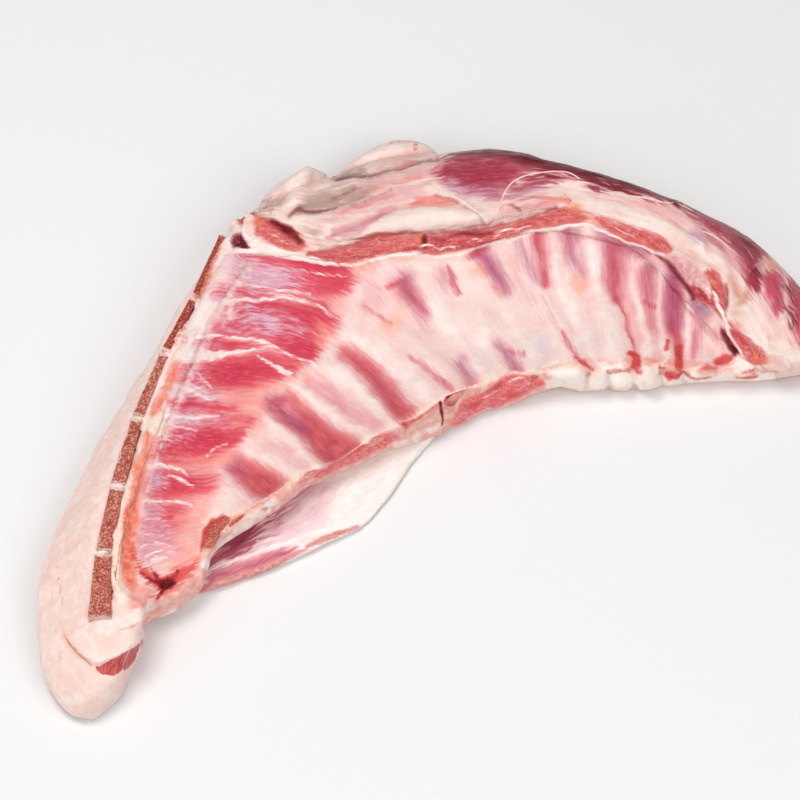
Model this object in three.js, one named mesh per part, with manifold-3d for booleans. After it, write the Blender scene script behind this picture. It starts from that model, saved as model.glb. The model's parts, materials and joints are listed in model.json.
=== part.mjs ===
// Raw lamb ribs: one side of a lamb's breast and rib wall, lying on its outer face with the lined inside up.
// Millimetres, +Z up. +X runs along the piece from the neck end to the loin end, and +Y from the sawn rib
// ends to the breastbone and flank. The origin is under the middle of the piece, on the surface below it.
import * as THREE from "three";
import { mergeVertices } from "three/addons/utils/BufferGeometryUtils.js";
import Module from "manifold-3d";

const wasm = await Module();
wasm.setup();

// Driving dimensions

const GAP = 0.6; // how far a piece is grown before its neighbours are cut back from it
const ROOT_DEPTH = 32; // thickness of the rib wall beside the breastbone and the skirt
const WALL_DEPTH = 18; // thickness of the rib wall along its bowl
const RIB_RELIEF = 2.2; // how far a rib stands above the flesh between ribs
const LOBE_RELIEF = 1.4; // swell of the muscle between the gristles by the breastbone
const RIB_WIDTH = 11;
const RIB_DEPTH = 6;
const RIB_COVER = 1.5; // lining over a rib bone
const RIB_START = 0.42; // share of a row where gristle turns to bone
const CHANNEL_END = 1.06; // share of a row to which the wall is let in for a rib, past the saw cut
const BONE_DEPTH = 16; // how deep the halved breastbone goes below its saw cut
const JOINT = 1.8; // gristle between two pieces of the breastbone
const EDGE_LIFT = 5; // how far the outer rim of the brisket and the flank rounds up from the floor
const SKIRT_DEPTH = 9;
const SKIRT_SLOPE = 3.5; // fall of the skirt's cut face from the flank to the rib wall
const FOLD_OVERLAP = 0.2; // share of the skirt's width that the flank's fold hangs over
const FOLD_AT = 0.75; // share of the flank's steps that make its roll, before it tucks in under the skirt
const TUCK = 5; // how far below the skirt's top the flank is tucked

// Steps of each piece's surface, along it and across it
const STEPS = {
  wall: [52, 12],
  rib: [6, 4],
  breastbone: [2, 2],
  brisket: [32, 7],
  skirt: [34, 2],
  flank: [36, 8],
  lump: [16, 10],
  flap: [20, 5],
};

// Rows across the rib wall, from the neck end to the loin end. Each runs from the breastbone or the skirt
// (arch), over the bend from gristle to bone (turn), to the saw cut (sawn), where the wall is as thick as
// depth says and the foot of the cut face stands out past its lip by lean.
const ROWS = [
  { arch: [-158, -66, 31], turn: [-139, -69, 24], sawn: [-117, -66, 20], depth: 12, lean: 0 },
  { arch: [-153, -46, 33], turn: [-124, -47, 21], sawn: [-105, -55, 26], depth: 13, lean: 0 },
  { arch: [-130, -17, 33], turn: [-98, -27, 18], sawn: [-80, -52, 28], depth: 13, lean: 0 },
  { arch: [-103, 10, 33], turn: [-65, -10, 17], sawn: [-52, -47, 29], depth: 13, lean: 0 },
  { arch: [-76, 35, 33], turn: [-31, 6, 16], sawn: [-17, -45, 28], depth: 17, lean: 1 },
  { arch: [-45, 60, 32], turn: [12, 16, 16], sawn: [26, -42, 27], depth: 26, lean: 5 },
  { arch: [-24, 72, 30], turn: [22, 13, 17], sawn: [38, -42, 26], depth: 26, lean: 5 },
  { arch: [14, 46, 28], turn: [43, 0, 17], sawn: [50, -44, 26], depth: 25, lean: 5 },
  { arch: [52, 33, 27], turn: [59, -2, 17], sawn: [61, -48, 25], depth: 24, lean: 4 },
  { arch: [88, 22, 26], turn: [87, -14, 17], sawn: [84, -57, 23], depth: 23, lean: 1 },
  { arch: [119, 9, 26], turn: [111, -22, 17], sawn: [100, -64, 22], depth: 22, lean: 0 },
  { arch: [138, -12, 26], turn: [131, -40, 17], sawn: [118, -73, 21], depth: 21, lean: 0 },
  { arch: [146, -34, 25], turn: [142, -58, 17], sawn: [137, -83, 20], depth: 20, lean: 0 },
  { arch: [150, -60, 23], turn: [149, -75, 18], sawn: [151, -91, 19], depth: 19, lean: 0 },
  { arch: [158, -77, 21], turn: [161, -87, 19], sawn: [164, -98, 18], depth: 18, lean: 0 },
];
const RIB_ROWS = [1, 2, 3, 4, 5, 8, 9, 10, 11, 12, 13]; // the rows that run along a rib
const LAST_ROW = ROWS.length - 1;

// Where the breastbone is parted by gristle, from its upper end to the neck end, with the width of bone that
// shows there.
const BREASTBONE = [
  { at: [-27, 82, 31.5], width: 4 },
  { at: [-55.5, 57, 33], width: 4.2 },
  { at: [-81, 37, 34.5], width: 5 },
  { at: [-107.5, 13, 34.5], width: 6.2 },
  { at: [-131.5, -14, 34.5], width: 7.4 },
  { at: [-152.5, -41, 34.5], width: 8 },
  { at: [-169, -69, 33.5], width: 11.5 },
];

// Edges of the brisket fat beside the breastbone, from its upper end round to the tail at the neck end, with
// the share of its width over which its rim rises to the crown.
const BRISKET = [
  { outer: [-17, 91], inner: [-14, 70], crown: 31, rise: 0.35 },
  { outer: [-46, 73], inner: [-46, 52], crown: 32.5, rise: 0.35 },
  { outer: [-68, 59], inner: [-74, 30], crown: 34, rise: 0.45 },
  { outer: [-89, 44], inner: [-100, 6], crown: 34, rise: 0.6 },
  { outer: [-112, 29], inner: [-125, -19], crown: 34, rise: 0.7 },
  { outer: [-136, 11], inner: [-146, -44], crown: 34, rise: 0.75 },
  { outer: [-159, -8], inner: [-154, -60], crown: 34, rise: 0.75 },
  { outer: [-179, -28], inner: [-150, -70], crown: 33, rise: 0.75 },
  { outer: [-192, -52], inner: [-152.5, -76], crown: 30, rise: 0.7 },
  { outer: [-199, -76], inner: [-163, -84], crown: 26, rise: 0.7 },
  { outer: [-197, -92], inner: [-174, -93], crown: 20, rise: 0.7 },
  { outer: [-190, -98], inner: [-182, -96], crown: 13, rise: 0.7 },
];

// Edges of the skirt, the cut muscle that runs along the rib wall's upper side, and the flank that folds
// round the outside of it, from the breastbone's upper end to the loin end.
const SKIRT = [
  { outer: [-13, 85], inner: [-28, 70], top: 35, flank: [-21, 92], crown: 29 },
  { outer: [5, 61], inner: [-2, 56], top: 33, flank: [12, 97], crown: 36 },
  { outer: [19, 53], inner: [11, 45], top: 32, flank: [38, 94], crown: 37 },
  { outer: [46, 46], inner: [40, 34], top: 31, flank: [62, 90], crown: 37 },
  { outer: [68, 38], inner: [62, 26], top: 31, flank: [86, 81], crown: 37 },
  { outer: [91, 31], inner: [86, 20], top: 31, flank: [107, 73], crown: 37 },
  { outer: [114, 24], inner: [107, 13], top: 31, flank: [128, 56], crown: 36 },
  { outer: [129, 14], inner: [121, 2], top: 31, flank: [146, 35], crown: 35 },
  { outer: [146, -12], inner: [137, -16], top: 30, flank: [171, 5], crown: 34 },
  { outer: [154, -42], inner: [143, -44], top: 29, flank: [190, -27], crown: 33 },
  { outer: [156, -66], inner: [147, -66], top: 27, flank: [198, -61], crown: 31 },
  { outer: [163, -90], inner: [155, -91], top: 24, flank: [198, -88], crown: 28 },
  { outer: [171, -100], inner: [165, -100], top: 22, flank: [188, -103], crown: 22 },
];

// Lumps of fat behind the flank: the fold at its upper end, which is drawn up to a peak, and the knob beyond.
const FAT_LUMPS = [
  { centre: [14, 92, 21], radii: [22, 10, 15], turn: 0.25, peak: 1.35 },
  { centre: [63, 91, 12], radii: [26, 10, 11], turn: -0.26, peak: 1.15 },
];

// Edges of the loose flap of breast muscle that lies under the saw cut, from the tail towards the middle.
const FLAP = [
  { outer: [-138, -52], inner: [-136, -66], top: 9 },
  { outer: [-112, -46], inner: [-112, -66], top: 8 },
  { outer: [-90, -38], inner: [-92, -68], top: 7 },
  { outer: [-68, -36], inner: [-69, -71], top: 6 },
  { outer: [-40, -32], inner: [-39, -70], top: 6 },
  { outer: [-20, -30], inner: [-21, -63], top: 6 },
  { outer: [-2, -30], inner: [-3, -52], top: 7 },
  { outer: [12, -32], inner: [14, -45], top: 8 },
];

// Small helpers

const mix = THREE.MathUtils.lerp;
const ease = (from, to, x) => THREE.MathUtils.smoothstep(x, from, to);

// A smooth run through one named point of each row, at a place counted in rows.
const curves = new Map();
function runPoint(rows, name, place) {
  const first = rows[0][name];
  if (!curves.has(first)) {
    curves.set(first, new THREE.CatmullRomCurve3(rows.map((row) => new THREE.Vector3(...row[name]))));
  }
  return curves.get(first).getPoint(place / (rows.length - 1));
}

// A run through one named number of each row, eased from row to row.
function runNumber(rows, name, place) {
  const i = Math.min(Math.floor(place), rows.length - 2);
  return mix(rows[i][name], rows[i + 1][name], ease(0, 1, place - i));
}

// A closed solid between two facing grids of points, over(s, t) and under(s, t), with s and t from 0 to 1.
function slab(over, under, along, across) {
  const points = [];
  const faces = [];
  const layer = (along + 1) * (across + 1);
  for (const face of [over, under]) {
    for (let i = 0; i <= along; i++) {
      for (let j = 0; j <= across; j++) points.push(...face(i / along, j / across).toArray());
    }
  }
  const at = (side, i, j) => side * layer + i * (across + 1) + j;
  const quad = (a, b, c, d) => faces.push(a, b, c, a, c, d);
  for (let i = 0; i < along; i++) {
    for (let j = 0; j < across; j++) {
      quad(at(0, i, j), at(0, i, j + 1), at(0, i + 1, j + 1), at(0, i + 1, j));
      quad(at(1, i, j), at(1, i + 1, j), at(1, i + 1, j + 1), at(1, i, j + 1));
    }
    quad(at(0, i, 0), at(0, i + 1, 0), at(1, i + 1, 0), at(1, i, 0));
    quad(at(0, i, across), at(1, i, across), at(1, i + 1, across), at(0, i + 1, across));
  }
  for (let j = 0; j < across; j++) {
    quad(at(0, 0, j), at(1, 0, j), at(1, 0, j + 1), at(0, 0, j + 1));
    quad(at(0, along, j), at(0, along, j + 1), at(1, along, j + 1), at(1, along, j));
  }
  const geometry = new THREE.BufferGeometry();
  geometry.setAttribute("position", new THREE.Float32BufferAttribute(points, 3));
  geometry.setIndex(faces);
  return solidOf(geometry);
}

// A closed geometry as a solid, with its faces turned outwards whichever way its grid ran.
function solidOf(geometry) {
  geometry.deleteAttribute("normal");
  geometry.deleteAttribute("uv");
  const merged = mergeVertices(geometry, 1e-4);
  const vertProperties = new Float32Array(merged.attributes.position.array);
  const triVerts = new Uint32Array(merged.index.array);
  const made = new wasm.Manifold(new wasm.Mesh({ numProp: 3, vertProperties, triVerts }));
  if (made.volume() > 0) return made;
  return new wasm.Manifold(new wasm.Mesh({ numProp: 3, vertProperties, triVerts: triVerts.reverse() }));
}

function geometryOf(solid) {
  const made = solid.getMesh();
  const geometry = new THREE.BufferGeometry();
  geometry.setAttribute("position", new THREE.BufferAttribute(new Float32Array(made.vertProperties), 3));
  geometry.setIndex(new THREE.BufferAttribute(new Uint32Array(made.triVerts), 1));
  geometry.computeVertexNormals();
  return geometry;
}

// A solid swollen by the gap: every corner moves out along the mean of its faces, each weighed by its angle.
function grown(solid) {
  const geometry = geometryOf(solid);
  const { position } = geometry.attributes;
  const corner = (i) => new THREE.Vector3().fromBufferAttribute(position, i);
  const corners = Array.from({ length: position.count }, (_, i) => corner(i));
  const outward = corners.map(() => new THREE.Vector3());
  const facing = new THREE.Vector3();
  for (let i = 0; i < geometry.index.count; i += 3) {
    const face = [0, 1, 2].map((n) => geometry.index.getX(i + n));
    THREE.Triangle.getNormal(...face.map((n) => corners[n]), facing);
    face.forEach((n, k) => {
      const ahead = corners[face[(k + 1) % 3]].clone().sub(corners[n]);
      const behind = corners[face[(k + 2) % 3]].clone().sub(corners[n]);
      outward[n].addScaledVector(facing, ahead.angleTo(behind));
    });
  }
  corners.forEach((point, i) => {
    point.addScaledVector(outward[i].normalize(), GAP);
    position.setXYZ(i, ...point.toArray());
  });
  return solidOf(geometry);
}

// A solid with others cut away, without the loose scraps that the cuts leave.
function trim(solid, ...others) {
  const cut = others.reduce((left, other) => left.subtract(other), solid);
  return cut.decompose().sort((a, b) => b.volume() - a.volume())[0];
}

function meshOf(name, solid, material) {
  const mesh = new THREE.Mesh(geometryOf(solid), material);
  mesh.name = name;
  return mesh;
}

// Rib wall

// How far a place along the rows is from the nearest rib, from 0 on the rib to 1 midway to the next.
function offRib(place) {
  const next = RIB_ROWS.findIndex((row) => row >= place);
  if (next <= 0) return next < 0 ? place - RIB_ROWS.at(-1) : RIB_ROWS[0] - place;
  const [before, after] = [RIB_ROWS[next - 1], RIB_ROWS[next]];
  const share = (place - before) / (after - before);
  return 2 * Math.min(share, 1 - share);
}

// The wall's lined face at a row and a share of the way from the arch to the saw cut, before its relief.
function wallPlane(place, t) {
  const arch = runPoint(ROWS, "arch", place);
  const turn = runPoint(ROWS, "turn", place);
  const sawn = runPoint(ROWS, "sawn", place);
  return arch
    .multiplyScalar((1 - t) * (1 - 2 * t))
    .addScaledVector(turn, 4 * t * (1 - t))
    .addScaledVector(sawn, t * (2 * t - 1));
}

function wallTop(place, t) {
  const point = wallPlane(place, t);
  const valley = ease(0.25, 0.95, offRib(place));
  const bony = ease(0.3, 0.55, t);
  const fleshy = ease(0, 0.2, t) * (1 - ease(0.3, 0.5, t));
  point.z += valley * (LOBE_RELIEF * fleshy - RIB_RELIEF * bony);
  return point;
}

function wallUnder(place, t) {
  const point = wallPlane(place, t);
  const bowl = mix(ROOT_DEPTH, WALL_DEPTH, ease(0, 0.45, t));
  const depth = mix(bowl, runNumber(ROWS, "depth", place), ease(0.6, 1, t));
  const out = runPoint(ROWS, "sawn", place).sub(runPoint(ROWS, "turn", place)).setZ(0).normalize();
  point.addScaledVector(out, runNumber(ROWS, "lean", place) * ease(0.8, 1, t));
  point.z = Math.max(0, point.z - depth);
  return point;
}

function ribWall() {
  const over = (s, t) => wallTop(s * LAST_ROW, t);
  const under = (s, t) => wallUnder(s * LAST_ROW, t);
  return slab(over, under, ...STEPS.wall);
}

// Rib bones

// One rib from its gristle to a share past along its row, flat and rounded at its sides.
function ribBone(row, past) {
  const face = (side) => (s, t) => {
    const along = mix(RIB_START, past, s);
    const q = 2 * t - 1;
    const across = wallPlane(row + 0.2, along).sub(wallPlane(row - 0.2, along)).normalize();
    const slim = mix(0.5, 1, ease(RIB_START, RIB_START + 0.15, along));
    const half = (RIB_WIDTH / 2) * slim;
    const round = Math.sqrt(1 - 0.9 * q * q);
    const point = wallPlane(row, along).addScaledVector(across, q * half);
    point.z += side * round * slim * (RIB_DEPTH / 2) - RIB_COVER - RIB_DEPTH / 2;
    return point;
  };
  return slab(face(1), face(-1), ...STEPS.rib);
}

// Breastbone

function breastbonePiece(i) {
  const [from, to] = [BREASTBONE[i], BREASTBONE[i + 1]];
  const a = new THREE.Vector3(...from.at);
  const b = new THREE.Vector3(...to.at);
  const side = b.clone().sub(a).setZ(0).normalize().cross(new THREE.Vector3(0, 0, 1));
  const gristle = JOINT / 2 / a.distanceTo(b);
  const face = (drop) => (s, t) => {
    const k = mix(gristle, 1 - gristle, s);
    const point = a.clone().lerp(b, k).addScaledVector(side, mix(from.width, to.width, k) * (0.5 - t));
    point.z -= drop;
    return point;
  };
  return slab(face(0), face(BONE_DEPTH), ...STEPS.breastbone);
}

// Strips laid along two edges: brisket fat, flank, skirt and flap

// A solid over the band that place(row, t) lays out, with the heights over(row, t) and under(row, t).
function strip(rows, place, over, under, along, across) {
  const last = rows.length - 1;
  const lift = (height) => (s, t) => place(s * last, t).setZ(height(s * last, t));
  return slab(lift(over), lift(under), along, across);
}

const between = (rows) => (row, t) => runPoint(rows, "outer", row).lerp(runPoint(rows, "inner", row), t);
const rimUnder = (row, t) => EDGE_LIFT * (1 - ease(0, 0.3, t));

function brisketFat() {
  const over = (row, t) => {
    const risen = Math.sqrt(ease(-0.1, runNumber(BRISKET, "rise", row), t));
    return runNumber(BRISKET, "crown", row) * mix(0.3, 1, risen);
  };
  return strip(BRISKET, between(BRISKET), over, rimUnder, ...STEPS.brisket);
}

function skirt() {
  const over = (row, t) => runNumber(SKIRT, "top", row) - SKIRT_SLOPE * t;
  const under = (row) => runNumber(SKIRT, "top", row) - SKIRT_DEPTH;
  return strip(SKIRT, between(SKIRT), over, under, ...STEPS.skirt);
}

// The flank rolls up from its outer rim to a fold over the skirt, and fills in below it up to the rib wall.
function flank() {
  const onSkirt = between(SKIRT);
  const place = (row, t) => {
    const tucked = Math.max(0, (t - FOLD_AT) / (1 - FOLD_AT));
    const edge = onSkirt(row, mix(FOLD_OVERLAP, 1, tucked));
    return tucked > 0 ? edge : edge.lerp(runPoint(SKIRT, "flank", row), 1 - t / FOLD_AT);
  };
  const over = (row, t) => {
    if (t > FOLD_AT) return runNumber(SKIRT, "top", row) - TUCK;
    const rise = mix(0.25, 1, Math.sqrt(ease(-0.1, 0.5, t / FOLD_AT)));
    return runNumber(SKIRT, "crown", row) * rise * mix(1, 0.93, ease(0.5, 1, t / FOLD_AT));
  };
  const roll = strip(SKIRT, place, over, rimUnder, ...STEPS.flank);
  return FAT_LUMPS.reduce((body, lump) => body.add(fatLump(lump)), roll);
}

// A rounded lump whose sides draw in towards its tips, the more so the higher its peak.
function fatLump({ centre, radii, turn, peak }) {
  const geometry = new THREE.SphereGeometry(1, ...STEPS.lump);
  const { array } = geometry.attributes.position;
  array.forEach((part, i) => (array[i] = Math.sign(part) * Math.abs(part) ** peak));
  return solidOf(geometry.scale(...radii).rotateZ(turn).translate(...centre));
}

function breastFlap() {
  const over = (row, t) => runNumber(FLAP, "top", row) * mix(1, 0.55, ease(0.4, 1, t));
  return strip(FLAP, between(FLAP), over, () => 0, ...STEPS.flap);
}

// Materials

const finish = (color, roughness) => new THREE.MeshStandardMaterial({ color, roughness, metalness: 0 });
const LINING = finish(0xe9c0ba, 0.45);
const BONE = finish(0xa8604c, 0.7);
const FAT = finish(0xf1d3c6, 0.5);
const MUSCLE = finish(0xb5404a, 0.45);
const MEMBRANE = finish(0xdcb0ac, 0.45);

// Assembly: the wall is let in for its bones, and the other pieces are cut back from it and from each other

const ribBones = RIB_ROWS.map((row) => ribBone(row, 1));
const ribChannels = RIB_ROWS.map((row) => grown(ribBone(row, CHANNEL_END)));
const boneNumbers = BREASTBONE.slice(1).map((_, i) => i);
const breastbones = boneNumbers.map((i) => breastbonePiece(i));
const bonePockets = breastbones.map((bone) => grown(bone));
const [wholeWall, wholeBrisket, wholeSkirt] = [ribWall(), brisketFat(), skirt()];
const [wallRoom, brisketRoom, skirtRoom] = [wholeWall, wholeBrisket, wholeSkirt].map((whole) => grown(whole));
const wall = trim(wholeWall, ...ribChannels, ...bonePockets);
const brisket = trim(wholeBrisket, wallRoom, ...bonePockets);
const skirtMuscle = trim(wholeSkirt, wallRoom, brisketRoom);
const flankRoll = trim(flank(), wallRoom, brisketRoom, skirtRoom);
const flap = trim(breastFlap(), wallRoom, brisketRoom);

const ribs = new THREE.Group();
ribs.add(meshOf("rib_wall", wall, LINING));
ribBones.forEach((bone, i) => ribs.add(meshOf(`rib_${i + 1}`, bone, BONE)));
breastbones.forEach((bone, i) => ribs.add(meshOf(`breastbone_${i + 1}`, bone, BONE)));
ribs.add(meshOf("brisket_fat", brisket, FAT));
ribs.add(meshOf("flank", flankRoll, MEMBRANE));
ribs.add(meshOf("skirt", skirtMuscle, MUSCLE));
ribs.add(meshOf("breast_flap", flap, MEMBRANE));

const box = new THREE.Box3().setFromObject(ribs);
const middle = box.getCenter(new THREE.Vector3());
ribs.position.set(-middle.x, -middle.y, -box.min.z);

export default ribs;
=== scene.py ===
"""Raw side of lamb ribs, lying lined inside up.

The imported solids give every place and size. Each solid is remeshed fine, given its folds,
fibres and cut edges, and dressed with layers of tissue. The tissue marks are read along the
photograph's line of sight, in pixels of its 800 x 800 frame; widths and heights are real millimetres.
"""

import json
import logging
import math
from dataclasses import dataclass, field
from enum import Enum
from typing import Dict, List, Tuple

import bmesh
import bpy
import numpy as np
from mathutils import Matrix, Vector
from mathutils.bvhtree import BVHTree

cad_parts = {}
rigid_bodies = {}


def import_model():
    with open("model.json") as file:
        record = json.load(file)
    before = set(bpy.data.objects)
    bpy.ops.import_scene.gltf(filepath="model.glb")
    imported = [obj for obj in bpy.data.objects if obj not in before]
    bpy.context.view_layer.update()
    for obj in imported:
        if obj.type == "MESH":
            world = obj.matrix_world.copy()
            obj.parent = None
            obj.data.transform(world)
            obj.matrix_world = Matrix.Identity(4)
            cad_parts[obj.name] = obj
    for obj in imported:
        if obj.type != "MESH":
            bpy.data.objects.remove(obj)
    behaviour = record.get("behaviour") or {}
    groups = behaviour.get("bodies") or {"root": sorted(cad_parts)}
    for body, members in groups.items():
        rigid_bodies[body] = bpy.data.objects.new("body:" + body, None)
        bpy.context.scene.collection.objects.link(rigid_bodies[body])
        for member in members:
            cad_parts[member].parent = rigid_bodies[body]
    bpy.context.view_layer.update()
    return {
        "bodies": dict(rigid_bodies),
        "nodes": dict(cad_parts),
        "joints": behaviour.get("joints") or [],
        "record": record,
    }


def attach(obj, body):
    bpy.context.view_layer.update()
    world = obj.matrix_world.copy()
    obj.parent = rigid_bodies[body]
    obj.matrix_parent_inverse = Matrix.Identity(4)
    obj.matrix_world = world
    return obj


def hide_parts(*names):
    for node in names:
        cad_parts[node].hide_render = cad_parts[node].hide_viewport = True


MM = 0.001
LOG = logging.getLogger("lamb_ribs")
RIB_COUNT = 11
BREASTBONE_COUNT = 6
# root of light in which the tones of tissues mix
FILM = 4.0
# share of fat flecks in red meat
MARBLING = 0.22
# waves in millimetres of the unevenness and of the marks' drift, and the finer wave's share
BROAD_WAVE = 9.0
FINE_WAVE = 2.6
FINE_SHARE = 0.2
DRIFT_SEEDS = (90, 95)
# rounds of evening that tell crests from hollows, and the span of heights in millimetres, for the painted
# highlight on crests and the painted shade in hollows
EVEN_ROUNDS = 60
CREST_SPAN = 1.6
# cosines to the line of sight between which shapes and marks set in
SHAPE_SEEN = (-0.5, 0.2)
MARK_SEEN = (-0.05, 0.2)

Colour = int
Spot = Tuple[float, float]
Line = Tuple[float, ...]
Covers = Dict[str, np.ndarray]
Heights = Tuple[Tuple[str, float], ...]
Traces = Tuple[Tuple[str, str, float], ...]


@dataclass(frozen=True)
class Sight:
    """The photograph's viewpoint, which places the camera and every tissue mark."""

    azimuth: float = math.radians(-29.0)
    elevation: float = math.radians(60.0)
    aim: Tuple[float, float, float] = (0.0101, -0.0188, 0.0)
    distance: float = 2.249
    lens: float = 220.0
    sensor: float = 36.0
    frame: float = 800.0

    def axes(self) -> Tuple[np.ndarray, np.ndarray, np.ndarray]:
        """Works out the directions of the picture.

        Returns:
            Unit vectors to the picture's right, to its top, and back to the eye.
        """
        turn, lift = self.azimuth, self.elevation
        right = np.array([math.cos(turn), math.sin(turn), 0.0])
        level = math.cos(lift)
        back = np.array([math.sin(turn) * level, -math.cos(turn) * level, math.sin(lift)])
        return right, np.cross(back, right), back

    def eye(self) -> np.ndarray:
        """Gives the place of the eye in metres."""
        return np.array(self.aim) + self.distance * self.axes()[2]

    def focal(self) -> float:
        """Gives the focal length in pixels."""
        return self.lens / self.sensor * self.frame

    def millimetres(self) -> float:
        """Gives the real size of one pixel at the meat, in millimetres."""
        return self.distance / self.focal() / MM

    def pixels(self, points: np.ndarray) -> np.ndarray:
        """Projects points into the picture.

        Args:
            points: Places in metres, one a row.

        Returns:
            Pixels from the frame's top left corner, one a row.
        """
        right, up, back = self.axes()
        ray = points - self.eye()
        depth = -(ray @ back)
        across = self.frame / 2 + self.focal() * (ray @ right) / depth
        down = self.frame / 2 - self.focal() * (ray @ up) / depth
        return np.stack([across, down], axis=1)

    def ray(self, spot: Spot) -> np.ndarray:
        """Finds the way in which the eye sees a pixel.

        Args:
            spot: The pixel.

        Returns:
            The unit direction.
        """
        right, up, back = self.axes()
        across, down = spot[0] - self.frame / 2, spot[1] - self.frame / 2
        way = across * right - down * up - self.focal() * back
        return way / np.linalg.norm(way)


SIGHT = Sight()


class Noise:
    """Smooth noise in space, the same on every run."""

    primes = (73856093, 19349663, 83492791)
    shift = 7.3

    def __init__(self, seed: int, size: int = 8192) -> None:
        """Fills the table of random values.

        Args:
            seed: Picks the draw.
            size: How many values the table holds.
        """
        self.table = np.random.default_rng(seed).uniform(-1.0, 1.0, size)

    def at(self, points: np.ndarray, size: float) -> np.ndarray:
        """Reads one octave of noise.

        Args:
            points: Places, one a row.
            size: Length of one wave, in the unit of the places.

        Returns:
            Values from -1 to 1.
        """
        cell = np.floor(points / size)
        part = points / size - cell
        part = part * part * (3 - 2 * part)
        cell = cell.astype(np.int64)
        total = np.zeros(len(points))
        for corner in np.ndindex(2, 2, 2):
            key = np.zeros(len(points), np.int64)
            weight = np.ones(len(points))
            for axis, side in enumerate(corner):
                key ^= (cell[:, axis] + side) * self.primes[axis]
                weight *= part[:, axis] if side else 1 - part[:, axis]
            total += weight * self.table[key % len(self.table)]
        return total

    def cloud(self, points: np.ndarray, size: float, octaves: int = 3) -> np.ndarray:
        """Adds octaves of noise, each half as large and half as strong as the one before.

        Args:
            points: Places, one a row.
            size: Length of the longest wave.
            octaves: How many waves are added.

        Returns:
            Values from about -1 to 1.
        """
        return sum(self.at(points + self.shift * k, size / 2**k) / 2**k for k in range(octaves))


def step(low: float, high: float, values: np.ndarray) -> np.ndarray:
    """Eases values from 0 at low to 1 at high.

    Args:
        low: Where the rise starts.
        high: Where the rise ends.
        values: What is eased.

    Returns:
        Values from 0 to 1.
    """
    share = np.clip((values - low) / (high - low), 0.0, 1.0)
    return share * share * (3 - 2 * share)


def corners(line: Line) -> np.ndarray:
    """Pairs a line's numbers, which go across, down, across, down and so on, into pixels, one a row."""
    return np.array(line, float).reshape(-1, 2)


def rounded(line: Line, closed: bool = False, rounds: int = 2) -> np.ndarray:
    """Cuts the corners of a line, so that it runs on in soft curves.

    Args:
        line: The line's numbers in order.
        closed: Whether its end joins its start.
        rounds: How often every corner is cut.

    Returns:
        The rounded line's pixels, one a row.
    """
    points = corners(line)
    for _ in range(rounds):
        ahead = np.roll(points, -1, axis=0)
        pairs = np.stack([0.75 * points + 0.25 * ahead, 0.25 * points + 0.75 * ahead], axis=1)
        if closed:
            points = pairs.reshape(-1, 2)
        else:
            points = np.concatenate([points[:1], pairs[:-1].reshape(-1, 2), points[-1:]])
    return points


def follow(line: np.ndarray, spots: np.ndarray) -> Tuple[np.ndarray, np.ndarray, float]:
    """Measures spots against a line of pixels.

    Args:
        line: The line's pixels in order, one a row.
        spots: Pixels to measure, one a row.

    Returns:
        Distance in millimetres, signed and positive on the line's right hand as the picture shows it;
        the run along the line in millimetres; and the line's whole length in millimetres.
    """
    nearest = np.full(len(spots), np.inf)
    side = np.ones(len(spots))
    run = np.zeros(len(spots))
    passed = 0.0
    for start, end in zip(line[:-1], line[1:]):
        way = end - start
        length = float(np.hypot(*way))
        if length == 0.0:
            continue
        rel = spots - start
        part = np.clip(rel @ way / length**2, 0.0, 1.0)
        gap = np.hypot(*(rel - part[:, None] * way).T)
        closer = gap < nearest
        nearest = np.where(closer, gap, nearest)
        cross = way[0] * rel[:, 1] - way[1] * rel[:, 0]
        side = np.where(closer, np.where(cross >= 0, 1.0, -1.0), side)
        run = np.where(closer, passed + part * length, run)
        passed += length
    scale = SIGHT.millimetres()
    return nearest * side * scale, run * scale, passed * scale


class Mark:
    """A mark on the meat as the picture shows it."""

    def reach(self) -> Tuple[np.ndarray, np.ndarray, float]:
        """Gives the mark's lowest and highest pixels and the millimetres it spreads past them."""
        raise NotImplementedError

    def depth(self, spots: np.ndarray) -> np.ndarray:
        """Gives how many millimetres spots lie inside the mark's edge."""
        raise NotImplementedError

    def cover(self, spots: np.ndarray, soft: float) -> np.ndarray:
        """Measures how far spots lie in the mark.

        Args:
            spots: Pixels, one a row.
            soft: Millimetres over which the edge fades.

        Returns:
            Values from 0 outside to the strength inside, half of it on the edge.
        """
        low, high, spread = self.reach()
        margin = (spread + soft) / SIGHT.millimetres()
        near = np.all((spots > low - margin) & (spots < high + margin), axis=1)
        result = np.zeros(len(spots))
        if near.any():
            result[near] = self.strength * np.clip(0.5 + self.depth(spots[near]) / soft, 0.0, 1.0)
        return result


@dataclass(frozen=True)
class Stroke(Mark):
    """A mark drawn along a line, such as a stripe, a tendon or a crease."""

    line: Line
    widths: Tuple[float, ...]
    strength: float = 1.0

    def reach(self) -> Tuple[np.ndarray, np.ndarray, float]:
        """Gives the stroke's lowest and highest pixels and half its width."""
        points = corners(self.line)
        return points.min(0), points.max(0), max(self.widths) / 2

    def depth(self, spots: np.ndarray) -> np.ndarray:
        """Measures how far spots lie inside the stroke's edge.

        Args:
            spots: Pixels, one a row.

        Returns:
            Millimetres, below zero outside.
        """
        away, run, length = follow(rounded(self.line), spots)
        places = np.linspace(0.0, length, len(self.widths))
        return np.interp(run, places, self.widths) / 2 - np.abs(away)


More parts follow.
